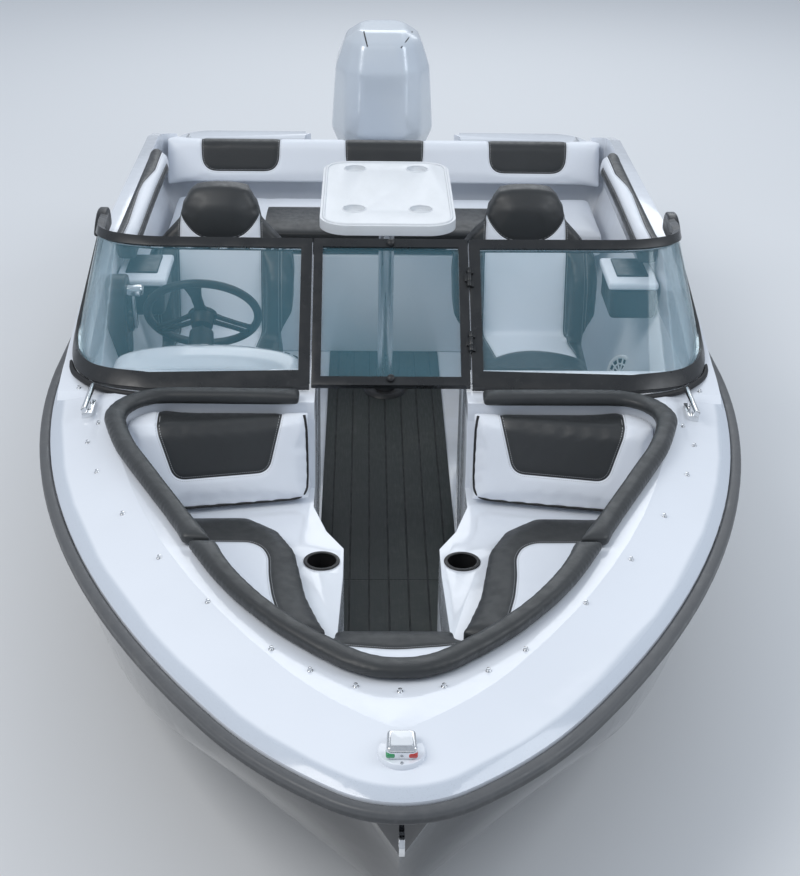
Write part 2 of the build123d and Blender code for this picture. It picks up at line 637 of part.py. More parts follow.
with BuildPart() as seat_pedestals:
    for seat_x in SEAT_X.values():
        block((seat_x - PEDESTAL[0], seat_x + PEDESTAL[0]), (SEAT_Y - PEDESTAL[1], SEAT_Y + PEDESTAL[1]),
              (HULL_FLOOR_Z + GAP, SEAT_TOP_Z - SEAT_THICK - GAP))
    fillet(seat_pedestals.edges().filter_by(Axis.Z), PEDESTAL_CORNER)
keep("seat_pedestals", seat_pedestals.part)
for side, seat_x in SEAT_X.items():
    with BuildPart() as seat:
        with BuildSketch(Plane.YZ.offset(seat_x - SEAT_WIDEST)):
            with BuildLine():
                Polyline((SEAT_Y - SEAT_LONG / 2, SEAT_TOP_Z - SEAT_THICK),
                         (SEAT_Y - SEAT_LONG / 2, SEAT_TOP_Z),
                         (back_front_y, SEAT_TOP_Z),
                         (back_front_y + BACK_RAKE, BACK_TOP_Z),
                         (seat_back_y + BACK_RAKE, BACK_TOP_Z),
                         (seat_back_y, SEAT_TOP_Z - SEAT_THICK), close=True)
            make_face()
        extrude(amount=2 * SEAT_WIDEST)
        for sign in (1, -1):
            low, middle, high = WING_Z
            with BuildSketch(Plane.YZ.offset(seat_x + sign * WING_FROM)):
                with BuildLine():
                    Polyline((back_face(low) - WING, low), (back_face(middle) - WING, middle),
                             (back_face(high), high), (back_face(high) + 20, high),
                             (back_face(low) + 20, low), close=True)
                make_face()
            extrude(amount=sign * (SEAT_WIDEST - WING_FROM))
        with BuildSketch(Plane.XZ.offset(SEAT_LONG - SEAT_Y)):
            with BuildLine():
                right = [(seat_x + x, z) for x, z in SEAT_OUTLINE]
                left = [(seat_x - x, z) for x, z in reversed(SEAT_OUTLINE)]
                Polyline(*right, *left, close=True)
            make_face()
        extrude(amount=-2 * SEAT_LONG, mode=Mode.INTERSECT)
    keep(f"seat_{side}", seat.part)

# Stern bench
BENCH_TOP_Z = 500
BENCH_SIT = 105
BENCH_BACK_TOP = (1662, 840)
BENCH_BACK_FOOT = (BENCH_BACK_TOP[0] - 70, 635)
BENCH_PAD = 68
BENCH_HALF = 800
BACKREST_EASE = 8       # backrest's ends, in from the coaming
with BuildPart() as bench_base:
    block((-BENCH_HALF, BENCH_HALF), (BENCH_FRONT_Y, COCKPIT_BACK_Y - 2),
          (HULL_FLOOR_Z + GAP, BENCH_TOP_Z))
    fillet(bench_base.edges().filter_by(Axis.Z).sort_by(Axis.Y)[-2:], COCKPIT_CORNER + 20)
keep("bench_base", bench_base.part)
CUSHION_SPLIT = 497
CUSHION_HALF = wall_half(BENCH_TOP_Z) - 14
with BuildPart() as bench_cushions:
    cushion_y = (BENCH_FRONT_Y - 25, BENCH_BACK_FOOT[0] - 4)
    for x in ((-CUSHION_HALF, -CUSHION_SPLIT), (-CUSHION_SPLIT + 4, CUSHION_SPLIT - 4),
              (CUSHION_SPLIT, CUSHION_HALF)):
        block(x, cushion_y, (BENCH_TOP_Z + GAP, BENCH_TOP_Z + BENCH_SIT))
keep("bench_cushions", bench_cushions.part)
with BuildPart() as bench_backrest:
    with BuildSketch(Plane.YZ.offset(-COCKPIT_HALF)):
        with BuildLine():
            Polyline(BENCH_BACK_FOOT, BENCH_BACK_TOP,
                     (BENCH_BACK_TOP[0] + BENCH_PAD, BENCH_BACK_TOP[1]),
                     (BENCH_BACK_FOOT[0] + BENCH_PAD, BENCH_BACK_FOOT[1]), close=True)
        make_face()
    extrude(amount=2 * COCKPIT_HALF)
    add(cockpit_face(BENCH_TOP_Z, COCKPIT_HALF - BACKREST_EASE))
    extrude(amount=SHEER_Z, mode=Mode.INTERSECT)
keep("bench_backrest", bench_backrest.part)
# pads on the coaming and down its inner face: section from the outer edge inboard
PAD_Y = (255, 1340)
PAD_FOOT_Z = COAMING_Z - 85
PAD_SECTION = [(975, COAMING_Z + GAP), (975, COAMING_Z + 14), (925, COAMING_Z + 18),
               (892, COAMING_Z - 16), (885, PAD_FOOT_Z)]
with BuildPart() as side_pads:
    with BuildSketch(Plane.XZ.offset(-PAD_Y[0])):
        with BuildLine():
            Polyline(*PAD_SECTION, (COCKPIT_HALF - GAP, PAD_FOOT_Z), (COCKPIT_HALF - GAP, COAMING_Z + GAP),
                     close=True)
        make_face()
        mirror(about=Plane.YZ)
    extrude(amount=PAD_Y[0] - PAD_Y[1])
keep("side_pads", side_pads.part)

# Table
TABLE = (0, 720)
TABLE_HALF = 246
TABLE_LONG = 787
TABLE_CORNER = 105
TABLE_TOP_Z = 899
TABLE_THICK = 38
TABLE_CUP = 42
TABLE_CUPS = (-201, 296)        # cup recesses along the table, from its middle
TABLE_CUP_X = 122
POST_R = 30
POST_FOOT_R = 85
with BuildPart() as table_top:
    with BuildSketch(Plane.XY.offset(TABLE_TOP_Z - TABLE_THICK)):
        with Locations(TABLE):
            RectangleRounded(2 * TABLE_HALF, TABLE_LONG, TABLE_CORNER)
    extrude(amount=TABLE_THICK)
    with BuildSketch(Plane.XY.offset(TABLE_TOP_Z)):
        with Locations(*[(x, TABLE[1] + y) for x in (TABLE_CUP_X, -TABLE_CUP_X) for y in TABLE_CUPS]):
            Circle(TABLE_CUP)
    extrude(amount=-16, mode=Mode.SUBTRACT)
keep("table_top", table_top.part)
with BuildPart() as table_post:
    with BuildSketch(Plane.XY.offset(FLOOR_Z + GAP)):
        with Locations(TABLE):
            Circle(POST_R)
    extrude(amount=TABLE_TOP_Z - TABLE_THICK - FLOOR_Z - 2 * GAP)
    with BuildSketch(Plane.XY.offset(FLOOR_Z + GAP)):
        with Locations(TABLE):
            Circle(POST_FOOT_R)
    extrude(amount=14, taper=30)
keep("table_post", table_post.part)

# Deck hardware
BOW_CLEAT = (905, -749)
STERN_CLEAT = (905, 2150)


CLEAT_BASE = (15, 46, 8)        # half width, half length, height
CLEAT_LEG = (22, 8, 28)         # place along the boat, radius, height
CLEAT_HORN = (36, 9, 170)       # height, radius, length


def cleat(x, y, z):
    half_x, half_y, high = CLEAT_BASE
    leg_y, leg_r, leg_high = CLEAT_LEG
    horn_z, horn_r, horn_long = CLEAT_HORN
    with BuildPart() as made:
        block((x - half_x, x + half_x), (y - half_y, y + half_y), (z - 20, z + high))
        with Locations((x, y - leg_y, z + 2 * high), (x, y + leg_y, z + 2 * high)):
            Cylinder(leg_r, leg_high)
        with Locations(Location((x, y, z + horn_z), (90, 0, 0))):
            Cylinder(horn_r, horn_long)
    return made.part


with BuildPart() as cleats:
    for x, y in (BOW_CLEAT, STERN_CLEAT):
        for sign in (1, -1):
            add(cleat(sign * x, y, DECK_TOP_Z - 14))
    add(deck.part, mode=Mode.SUBTRACT)
keep("cleats", cleats.part)
BOW_LIGHT = (30, (-2438, -2358), 27)    # half width, limits along the boat, dome radius
with BuildPart() as bow_light:
    block((-BOW_LIGHT[0], BOW_LIGHT[0]), BOW_LIGHT[1], (DECK_TOP_Z - 30, DECK_TOP_Z - 6))
    fillet(bow_light.edges().filter_by(Axis.Z), BOW_LIGHT[0] - 8)
    with Locations((0, sum(BOW_LIGHT[1]) / 2, DECK_TOP_Z - 6)):
        Sphere(BOW_LIGHT[2])
    add(deck.part, mode=Mode.SUBTRACT)
keep("bow_light", bow_light.part)
EYE_R = 13
EYE = (0, -2528, 548)
with BuildPart() as bow_eye:
    with BuildSketch(Plane.YZ.offset(-6)):
        with Locations(EYE[1:]):
            Circle(26)
        with Locations((EYE[1] + 26, EYE[2])):
            Rectangle(44, 40)
        with Locations(EYE[1:]):
            Circle(EYE_R, mode=Mode.SUBTRACT)
    extrude(amount=12)
    add(hull.part, mode=Mode.SUBTRACT)
keep("bow_eye", bow_eye.part)
STERN_EYE = (620, 2538, 240)
with BuildPart() as stern_eyes:
    for sign in (1, -1):
        with BuildSketch(Plane.YZ.offset(sign * STERN_EYE[0] - 6)):
            with Locations(STERN_EYE[1:]):
                Circle(26)
            with Locations((STERN_EYE[1] - 24, STERN_EYE[2])):
                Rectangle(50, 40)
            with Locations(STERN_EYE[1:]):
                Circle(EYE_R, mode=Mode.SUBTRACT)
        extrude(amount=12)
    add(hull.part, mode=Mode.SUBTRACT)
keep("stern_eyes", stern_eyes.part)

# Outboard engine
TILT = (2575, 380)      # tilt tube, y and z
TILT_R = 14
STEER_Y = 2700          # steering axis
STEER_R = 16
CLAMP_X = (76, 104)
with BuildPart() as clamp_brackets:
    for sign in (1, -1):
        with BuildSketch(Plane.YZ.offset(sign * CLAMP_X[0])):
            with BuildLine():
                Polyline((2430, 250), (2430, 338), (2515, 370), (2550, 406), (2600, 400), (2605, 350),
                         (2550, 60), (STERN_Y + GAP, 60), (STERN_Y + GAP, TRANSOM_Z + GAP),
                         (STERN_Y - TRANSOM_THICK - GAP, TRANSOM_Z + GAP),
                         (STERN_Y - TRANSOM_THICK - GAP, 250), close=True)
            make_face()
        extrude(amount=sign * (CLAMP_X[1] - CLAMP_X[0]))
    with Locations(Location((0, *TILT), (0, 90, 0))):
        Cylinder(TILT_R, 2 * CLAMP_X[1] + 40)
keep("clamp_brackets", clamp_brackets.part)

SWIVEL_HALF = 68
SWIVEL_Z = (70, 404)
with BuildPart() as swivel_bracket:
    with BuildSketch(Plane.XY.offset(SWIVEL_Z[0])):
        with Locations((0, STEER_Y)):
            Circle(38)
    extrude(amount=SWIVEL_Z[1] - SWIVEL_Z[0])
    block((-SWIVEL_HALF, SWIVEL_HALF), (TILT[0] - 30, STEER_Y), (350, SWIVEL_Z[1]))
    block((-26, 26), (TILT[0] + 10, STEER_Y), (120, 360))
    with Locations(Location((0, *TILT), (0, 90, 0))):
        Cylinder(TILT_R + FIT, 400, mode=Mode.SUBTRACT)
    with Locations((0, STEER_Y, 200)):
        Cylinder(STEER_R + FIT, 900, mode=Mode.SUBTRACT)
keep("swivel_bracket", swivel_bracket.part)

COWL_WALL = 9
# height, then outline points from the front's flat round to the back: a faceted cowl
COWL = [
    (458, (60, 2622), (150, 2680), (200, 2780), (205, 2960), (140, 3060)),
    (600, (112, 2520), (190, 2575), (250, 2700), (250, 2960), (165, 3100)),
    (900, (112, 2540), (180, 2590), (230, 2700), (226, 2950), (150, 3070)),
    (1030, (100, 2580), (150, 2625), (186, 2710), (176, 2920), (110, 3010)),
    (1082, (86, 2660), (104, 2680), (112, 2730), (104, 2880), (70, 2930)),
]
PAN_Z = (440, COWL[0][0] - GAP, 476)      # lower pan: foot, edge under the cowl, top


def cowl_outline(level, inset=0.0):
    right = [(x - inset, y + (inset if y < STEER_Y + 100 else -inset)) for x, y in level[1:]]
    return [*right, *[(-x, y) for x, y in reversed(right)]]


# height, half width, front, back
LEG = [(430, 110, 2752, 3000), (380, 96, 2754, 2990), (100, 62, 2752, 2940), (-296.7, 34, 2764, 2960)]
PLATE_Z = -305
SHAFT_Z = -470
with BuildPart() as midsection:
    for z, half, front, back in LEG:
        with BuildSketch(Plane.XY.offset(z)):
            with Locations((0, (front + back) / 2)):
                Ellipse(half, (back - front) / 2)
    loft()
    block((-70, 70), (STEER_Y - 34, 2830), (SWIVEL_Z[1] + 6, 452))
    block((-40, 40), (STEER_Y - 34, 2800), (20, SWIVEL_Z[0] - 6))
    with Locations((0, STEER_Y, (20 + 440) / 2)):
        Cylinder(STEER_R, 420)
    for inset, low, high in ((0, PAN_Z[0], PAN_Z[1]), (COWL_WALL + 8, PAN_Z[0], PAN_Z[2])):
        with BuildSketch(Plane.XY.offset(low)):
            with BuildLine():
                Polyline(*cowl_outline(COWL[0], inset), close=True)
            make_face()
        extrude(amount=high - low)
keep("midsection", midsection.part)

with BuildPart() as gearcase:
    with BuildSketch(Plane.XY.offset(PLATE_Z)):
        with Locations((0, 2930)):
            Ellipse(105, 190)
    extrude(amount=8)
    with BuildSketch(Plane.XY.offset(PLATE_Z)):
        with Locations((0, 2862)):
            Ellipse(32, 98)
    extrude(amount=SHAFT_Z - PLATE_Z)
    with BuildSketch(Plane.YZ):
        with BuildLine() as nose:
            Spline((2700, SHAFT_Z), (2760, SHAFT_Z + 42), (2860, SHAFT_Z + 56), (2990, SHAFT_Z + 46))
            Polyline((2990, SHAFT_Z + 46), (2990, SHAFT_Z), (2700, SHAFT_Z))
        make_face()
    revolve(axis=Axis((0, 0, SHAFT_Z), (0, 1, 0)))
    with BuildSketch(Plane.YZ.offset(-7)):
        with BuildLine():
            Polyline((2790, SHAFT_Z - 40), (2850, SHAFT_Z - 175), (2930, SHAFT_Z - 175),
                     (2970, SHAFT_Z - 40), close=True)
        make_face()
    extrude(amount=14)
    with Locations(Location((0, 2950, SHAFT_Z), (90, 0, 0))):
        Cylinder(11 + FIT, 90, mode=Mode.SUBTRACT)
keep("gearcase", gearcase.part)

PROP_R = 165
PROP_Y = (2996, 3090)
with BuildPart() as propeller:
    with BuildSketch(Plane.XZ.offset(-PROP_Y[0])):
        with Locations((0, SHAFT_Z)):
            Circle(44)
    extrude(amount=-(PROP_Y[1] - PROP_Y[0]))
    with BuildSketch(Plane.XZ.offset(-2915)):
        with Locations((0, SHAFT_Z)):
            Circle(11)
    extrude(amount=-(PROP_Y[0] - 2915))
    for turn in (0, 120, 240):
        blade_plane = Plane(origin=(0, sum(PROP_Y) / 2, SHAFT_Z), x_dir=(0, 1, 0),
                            z_dir=(sin(radians(turn)), 0, cos(radians(turn))))
        with BuildSketch(blade_plane.offset(30)):
            Rectangle(84, 10, rotation=28)
        with BuildSketch(blade_plane.offset(PROP_R)):
            Rectangle(70, 5, rotation=52)
        loft()
keep("propeller", propeller.part)


def cowl_body(inset, drop):
    with BuildPart() as made:
        for level in COWL:
            fall = drop if level[0] > COWL[0][0] else min(drop, 1)
            with BuildSketch(Plane.XY.offset(level[0] - fall)):
                with BuildLine():
                    Polyline(*cowl_outline(level, inset), close=True)
                make_face()
        loft(ruled=True)
    return made.part


with BuildPart() as cowl:
    add(cowl_body(0, 0))
    add(cowl_body(COWL_WALL, COWL_WALL), mode=Mode.SUBTRACT)
keep("cowl", cowl.part)
POWERHEAD = ((-130, 130), (2700, 2980), (PAN_Z[2] + GAP, 940))
with BuildPart() as engine_block:
    block(*POWERHEAD)
keep("engine_block", engine_block.part)

os.makedirs("parts", exist_ok=True)
for name, shape in pieces.items():
    export_step(shape, f"parts/{name}.step")
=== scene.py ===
import bmesh
import bpy
import numpy as np
from math import cos, pi, radians, sin
from mathutils import Matrix, Vector


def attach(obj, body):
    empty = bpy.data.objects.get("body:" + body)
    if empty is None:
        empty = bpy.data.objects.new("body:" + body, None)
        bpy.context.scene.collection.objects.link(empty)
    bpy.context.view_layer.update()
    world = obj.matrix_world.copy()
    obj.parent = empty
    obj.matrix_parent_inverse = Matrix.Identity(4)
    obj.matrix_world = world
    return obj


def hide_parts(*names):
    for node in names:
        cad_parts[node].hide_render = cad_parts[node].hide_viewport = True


# Open-bow speedboat with an outboard engine, dressed for its portrait.
# Metres. Bow towards -Y, port side +X, +Z up, Z = 0 is the waterline.

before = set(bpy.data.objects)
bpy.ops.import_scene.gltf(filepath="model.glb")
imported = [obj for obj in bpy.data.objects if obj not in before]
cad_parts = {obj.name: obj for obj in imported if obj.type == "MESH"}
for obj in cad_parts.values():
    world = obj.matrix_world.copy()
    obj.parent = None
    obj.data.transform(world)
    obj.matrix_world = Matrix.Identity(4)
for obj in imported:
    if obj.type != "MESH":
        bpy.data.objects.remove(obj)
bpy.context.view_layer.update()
scene = bpy.context.scene


# Camera, solved from the lines of the photograph: its place, and its turns in radians
EYE = Vector((-0.0821, -5.0945, 2.7518))
PITCH, ROLL, YAW = 0.46098, -0.0166252, 0.0252348
LENS_MM = 65.75


def set_camera():
    pitch, roll, yaw = PITCH, ROLL, YAW
    ahead = Vector((sin(yaw) * cos(pitch), cos(yaw) * cos(pitch), -sin(pitch)))
    level = Vector((cos(yaw), -sin(yaw), 0))
    below = ahead.cross(level)
    right = cos(roll) * level + sin(roll) * below
    down = -sin(roll) * level + cos(roll) * below
    turn = Matrix((right, -down, -ahead)).transposed().to_4x4()
    lens = bpy.data.cameras.new("portrait")
    lens.lens = LENS_MM
    lens.clip_end = 200
    camera = bpy.data.objects.new("portrait", lens)
    scene.collection.objects.link(camera)
    camera.matrix_world = Matrix.Translation(EYE) @ turn
    scene.camera = camera


set_camera()


# Shader sums
class Wire:
    """A socket in a finish, so that a pattern reads as a sum."""

    def __init__(self, finish, socket):
        self.finish, self.socket = finish, socket

    def sum(self, kind, *others):
        return self.finish.add("ShaderNodeMath", {"operation": kind}, (self, *others))

    def back(self, kind, other):
        return self.finish.add("ShaderNodeMath", {"operation": kind}, (other, self))

    def __add__(self, other):
        return self.sum("ADD", other)

    def __radd__(self, other):
        return self.back("ADD", other)

    def __sub__(self, other):
        return self.sum("SUBTRACT", other)

    def __rsub__(self, other):
        return self.back("SUBTRACT", other)

    def __mul__(self, other):
        return self.sum("MULTIPLY", other)

    def __rmul__(self, other):
        return self.back("MULTIPLY", other)

    def __truediv__(self, other):
        return self.sum("DIVIDE", other)

    def __abs__(self):
        return self.sum("ABSOLUTE")

    def ramp(self, low, high, start=0.0, end=1.0):
        """A soft step from start to end as the value goes from low to high."""
        return self.finish.add("ShaderNodeMapRange", {"interpolation_type": "SMOOTHSTEP"},
                               (self, low, high, start, end))


class Finish:
    """A material for one of the boat's surfaces."""

    def __init__(self, name, colour, rough, **fixed):
        self.material = bpy.data.materials.new(name)
        self.material.use_nodes = True
        self.tree = self.material.node_tree
        self.shader = self.tree.nodes["Principled BSDF"]
        self.put("Base Color", (*colour, 1.0) if isinstance(colour, tuple) else colour)
        self.put("Roughness", rough)
        for key, value in fixed.items():
            self.put(key.replace("_", " "), value)

    def put(self, socket, value):
        target = self.shader.inputs[socket] if isinstance(socket, str) else socket
        if isinstance(value, Wire):
            self.tree.links.new(value.socket, target)
        else:
            target.default_value = value

    def add(self, kind, settings=None, values=(), out=0):
        """One node: its settings first, then the values or wires of its sockets."""
        node = self.tree.nodes.new(kind)
        for key, value in (settings or {}).items():
            setattr(node, key, value)
        pairs = values.items() if isinstance(values, dict) else enumerate(values)
        for place, value in pairs:
            self.put(node.inputs[place], value)
        return Wire(self, node.outputs[out])

    def place(self):
        """Where a point lies on the boat, in metres."""
        return self.add("ShaderNodeTexCoord", out="Object")

    def axes(self):
        """The same place as three wires, x, y and z."""
        split = self.add("ShaderNodeSeparateXYZ", values=(self.place(),))
        return [Wire(self, output) for output in split.socket.node.outputs]

    def cloud(self, scale, detail=3.0, stretch=(1, 1, 1), rough=0.5):
        """Noise with so many blots to a metre."""
        spot = self.add("ShaderNodeMapping", values={0: self.place(), 3: stretch})
        return self.add("ShaderNodeTexNoise", values={0: spot, 2: scale, 3: detail, 4: rough})

    def mark(self, name):
        """A value stored on the piece's own points."""
        return self.add("ShaderNodeAttribute", {"attribute_name": name}, out="Fac")

    def mix(self, part, one, two):
        """A colour on the way from one to two."""
        node = self.tree.nodes.new("ShaderNodeMix")
        node.data_type = "RGBA"
        for place, value in ((0, part), (6, one), (7, two)):
            self.put(node.inputs[place], (*value, 1.0) if isinstance(value, tuple) else value)
        return Wire(self, node.outputs[2])

    def raise_by(self, height, distance, strength=1.0):
        """Bump, with the height in metres when distance is 1."""
        node = self.add("ShaderNodeBump", values={"Strength": strength, "Distance": distance,
                                                  "Height": height})
        self.put("Normal", node)


WHITE = (0.80, 0.835, 0.89)
CHARCOAL = (0.026, 0.028, 0.029)
# The heights between which the painted shade on the deck's bevelled edge fades in and out
EDGE_SHADE_FOOT = (0.6515, 0.6535)
EDGE_SHADE_HEAD = (0.6695, 0.6680)


def gelcoat(name="gelcoat", white=WHITE, edge=False):
    """White gelcoat, a little stained, with painted shade, speckled, along the deck's bevelled edge where
    asked.
    """
    made = Finish(name, white, 0.16, Coat_Weight=0.6, Coat_Roughness=0.06, IOR=1.5)
    drift = made.cloud(1.7, 3)
    stain = made.cloud(9, 5, rough=0.65)
    z = made.axes()[2]
    low = z.ramp(0.10, 0.0) * stain.ramp(0.35, 0.7)
    tint = made.mix(drift.ramp(0.35, 0.7), white, tuple(c * 0.96 for c in white))
    tint = made.mix(stain.ramp(0.62, 0.8, 0, 0.10), tint, (0.70, 0.70, 0.66))
    tint = made.mix(low * 0.5, tint, (0.52, 0.50, 0.38))
    if edge:
        # Painted shade: the deck's bevelled outer edge is painted grey, with darker specks in it
        speck = made.cloud(420, 3, rough=0.7)
        band = z.ramp(*EDGE_SHADE_FOOT) * z.ramp(*EDGE_SHADE_HEAD) * made.mark("rim").ramp(0.5, 0.9)
        edge_shade_tint = made.mix(speck.ramp(0.60, 0.70, 0, 0.6), (0.50, 0.55, 0.62), (0.16, 0.17, 0.19))
        tint = made.mix(band * 0.8, tint, edge_shade_tint)
    made.put("Base Color", tint)
    made.put("Roughness", made.cloud(30, 4).ramp(0.3, 0.8, 0.12, 0.24))
    made.raise_by(made.cloud(14, 2) * 0.0009 + made.cloud(160, 2) * 0.00004, 1.0)
    return made.material


def table_plastic():
    """Grained white plastic, duller where it is wiped."""
    made = Finish("table_plastic", (0.72, 0.745, 0.77), 0.34, Coat_Weight=0.15, Coat_Roughness=0.2)
    wipe = made.cloud(6, 5, (1, 0.3, 1), 0.7)
    tint = made.mix(wipe.ramp(0.4, 0.8, 0, 0.6), (0.73, 0.755, 0.78), (0.66, 0.68, 0.69))
    made.put("Base Color", tint)
    made.put("Roughness", wipe.ramp(0.3, 0.75, 0.28, 0.42))
    made.raise_by(made.cloud(420, 2) * 0.00006 + made.cloud(9, 2) * 0.0004, 1.0)
    return made.material


def hull_gelcoat():
    """Black gloss gelcoat, with a dull tide mark at the waterline."""
    made = Finish("hull_gelcoat", (0.010, 0.011, 0.013), 0.12, Coat_Weight=0.7, Coat_Roughness=0.05,
                  IOR=1.5)
    z = made.axes()[2]
    stain = made.cloud(8, 6, (1, 1, 3), 0.7)
    tide = z.ramp(0.11, 0.01) * stain.ramp(0.3, 0.65)
    scuff = made.cloud(5, 6, (1, 0.25, 3), 0.75).ramp(0.62, 0.8)
    shade = made.mix(scuff * 0.35, (0.009, 0.010, 0.012), (0.045, 0.047, 0.050))
    made.put("Base Color", made.mix(tide * 0.55, shade, (0.10, 0.10, 0.08)))
    made.put("Roughness", made.cloud(22, 4).ramp(0.3, 0.8, 0.09, 0.2) + tide * 0.4)
    made.raise_by(made.cloud(11, 2) * 0.0010 + made.cloud(150, 2) * 0.00004, 1.0)
    return made.material


def rail_rubber():
    """Scuffed charcoal rubber, with a painted highlight on top and painted shade down its side, and a groove
    along its side.
    """
    groove_z = 0.612
    made = Finish("rail_rubber", CHARCOAL, 0.45, Specular_IOR_Level=0.5)
    z = made.axes()[2]
    # Painted light: the top is painted paler and the side below darker, as light falls on them
    side = z.ramp(0.632, 0.640)
    patch = made.cloud(25, 5, rough=0.7)
    worn = made.cloud(6, 6, rough=0.75).ramp(0.55, 0.75)
    shade = made.mix(side, (0.040, 0.042, 0.045), (0.085, 0.088, 0.092))
    shade = made.mix(patch.ramp(0.4, 0.75, 0, 0.5), shade, (0.12, 0.122, 0.125))
    made.put("Base Color", made.mix(worn * 0.25, shade, (0.2, 0.2, 0.19)))
    made.put("Roughness", patch.ramp(0.3, 0.7, 0.38, 0.58))
    groove = abs(z - groove_z).ramp(0.001, 0.004)
    made.raise_by(groove * 0.003 + patch * 0.0002, 1.0)
    return made.material


def planks():
    """A mat of dark planks along the boat, each of its own shade, with one seam across."""
    plank, shift, seam_y = 0.0625, 0.0005, -0.724
    made = Finish("plank_mat", (0.02, 0.024, 0.022), 0.62)
    x, y = made.axes()[:2]
    across = made.add("ShaderNodeMath", {"operation": "PINGPONG"}, (x + shift, plank / 2))
    gap = across.ramp(0.0018, 0.0034)
    lane = made.add("ShaderNodeMath", {"operation": "FLOOR"}, ((x + shift) / plank,))
    shade = made.add("ShaderNodeTexWhiteNoise", {"noise_dimensions": "1D"}, {"W": lane})
    seam = abs(y - seam_y).ramp(0.0012, 0.003)
    grain = made.cloud(26, 6, (7, 0.6, 1), 0.65)
    fine = made.cloud(240, 3, (3, 0.5, 1))
    dust = made.cloud(3.5, 5, rough=0.7).ramp(0.5, 0.75)
    board = made.mix(grain.ramp(0.3, 0.75), (0.012, 0.016, 0.015), (0.036, 0.043, 0.039))
    board = made.mix(shade * 0.35, board, (0.022, 0.03, 0.028))
    board = made.mix(dust * 0.3, board, (0.075, 0.08, 0.07))
    made.put("Base Color", made.mix(gap * seam, (0.003, 0.004, 0.004), board))
    made.put("Roughness", grain.ramp(0.3, 0.7, 0.5, 0.75))
    made.raise_by(gap * seam * 0.0022 + grain * 0.0006 + fine * 0.0002, 1.0)
    return made.material


def vinyl(name, light, dark):
    """Marine vinyl: the seam mark is the distance from the seam, positive on the light side."""
    stitch_row_at, stitch_long = 0.0055, 0.0030
    made = Finish(name, light, 0.42, Coat_Weight=0.08, Coat_Roughness=0.35, Specular_IOR_Level=0.45)
    seam = made.mark("seam")
    along = made.mark("along")
    side = seam.ramp(-0.0004, 0.0004)
    blotch = made.cloud(3, 4).ramp(0.35, 0.75)
    pale = made.mix(blotch * 0.4, light, tuple(c * 0.93 for c in light))
    dusty = made.mix(blotch * 0.5, dark, tuple(c * 1.5 + 0.004 for c in dark))
    tint = made.mix(side, dusty, pale)
    cell = made.add("ShaderNodeTexVoronoi", {"feature": "F1"}, {"Vector": made.place(), "Scale": 620.0})
    away = made.add("ShaderNodeMath", {"operation": "MINIMUM"}, (abs(seam), made.mark("crease")))
    stitch_row = abs(away - stitch_row_at).ramp(0.0012, 0.0006)
    dash = made.add("ShaderNodeMath", {"operation": "PINGPONG"}, (along, stitch_long))
    stitch = stitch_row * dash.ramp(0.0010, 0.0013)
    tint = made.mix(stitch * 0.6, tint, (0.55, 0.56, 0.57))
    # Painted shade: the seams and creases are painted near black along their grooves
    shaded_groove = away.ramp(0.0016, 0.0004)
    made.put("Base Color", made.mix(shaded_groove * 0.7, tint, (0.012, 0.012, 0.013)))
    made.put("Roughness", made.cloud(40, 4).ramp(0.3, 0.75, 0.36, 0.52) + shaded_groove * 0.2)
    made.raise_by(cell * 0.00022 + away.ramp(0.0, 0.006) * 0.0022 + stitch * 0.0006
                  + made.cloud(12, 3) * 0.0012, 1.0)
    return made.material


def frame_black():
    """Black powder coat, with grey scuffs."""
    made = Finish("frame_black", (0.012, 0.013, 0.014), 0.33, Specular_IOR_Level=0.55)
    scuff = made.cloud(70, 6, (1, 1, 0.3), 0.7)
    made.put("Base Color", made.mix(scuff.ramp(0.55, 0.8, 0, 0.5), (0.011, 0.012, 0.013),
                                    (0.055, 0.056, 0.058)))
    made.put("Roughness", made.cloud(18, 4).ramp(0.3, 0.75, 0.26, 0.45))
    made.raise_by(made.cloud(500, 2) * 0.00008, 1.0)
    return made.material


def gasket_rubber():
    """Black rubber with specks of dust."""
    made = Finish("gasket_rubber", (0.010, 0.010, 0.011), 0.55)
    speck = made.cloud(260, 4, rough=0.7)
    made.put("Base Color", made.mix(speck.ramp(0.66, 0.75, 0, 0.6), (0.009, 0.009, 0.010),
                                    (0.13, 0.13, 0.13)))
    made.raise_by(speck * 0.0003, 1.0)
    return made.material


def window_glass():
    """Clear glass with a blue cast, which mirrors more at a slant."""
    made = Finish("window_glass", (0.14, 0.43, 0.56), 0.03, IOR=1.5, Alpha=0.12)
    made.put("Alpha", made.cloud(2.2, 3).ramp(0.35, 0.75, 0.09, 0.13))
    gloss = made.add("ShaderNodeBsdfGlossy", values={"Color": (0.92, 0.98, 1, 1), "Roughness": 0.02})
    facing = made.add("ShaderNodeFresnel", values={"IOR": 1.35})
    both = made.add("ShaderNodeMixShader", values=(facing * 0.7, Wire(made, made.shader.outputs[0]), gloss))
    made.tree.links.new(both.socket, made.tree.nodes["Material Output"].inputs[0])
    return made.material


def black_plastic():
    made = Finish("black_plastic", (0.014, 0.014, 0.015), 0.42)
    made.put("Roughness", made.cloud(60, 4).ramp(0.3, 0.75, 0.34, 0.52))
    made.raise_by(made.cloud(900, 2) * 0.00012, 1.0)
    return made.material


def metal(name, colour, rough, brushed=(1, 1, 1), scale=80):
    """Metal with fine streaks, which brushed stretches."""
    made = Finish(name, colour, rough, Metallic=1.0)
    streak = made.cloud(scale, 4, brushed, 0.6)
    made.put("Base Color", made.mix(streak.ramp(0.3, 0.8), colour, tuple(c * 0.82 for c in colour)))
    made.put("Roughness", streak.ramp(0.25, 0.8, rough * 0.7, rough * 1.5))
    made.raise_by(streak * 0.00005, 1.0)
    return made.material


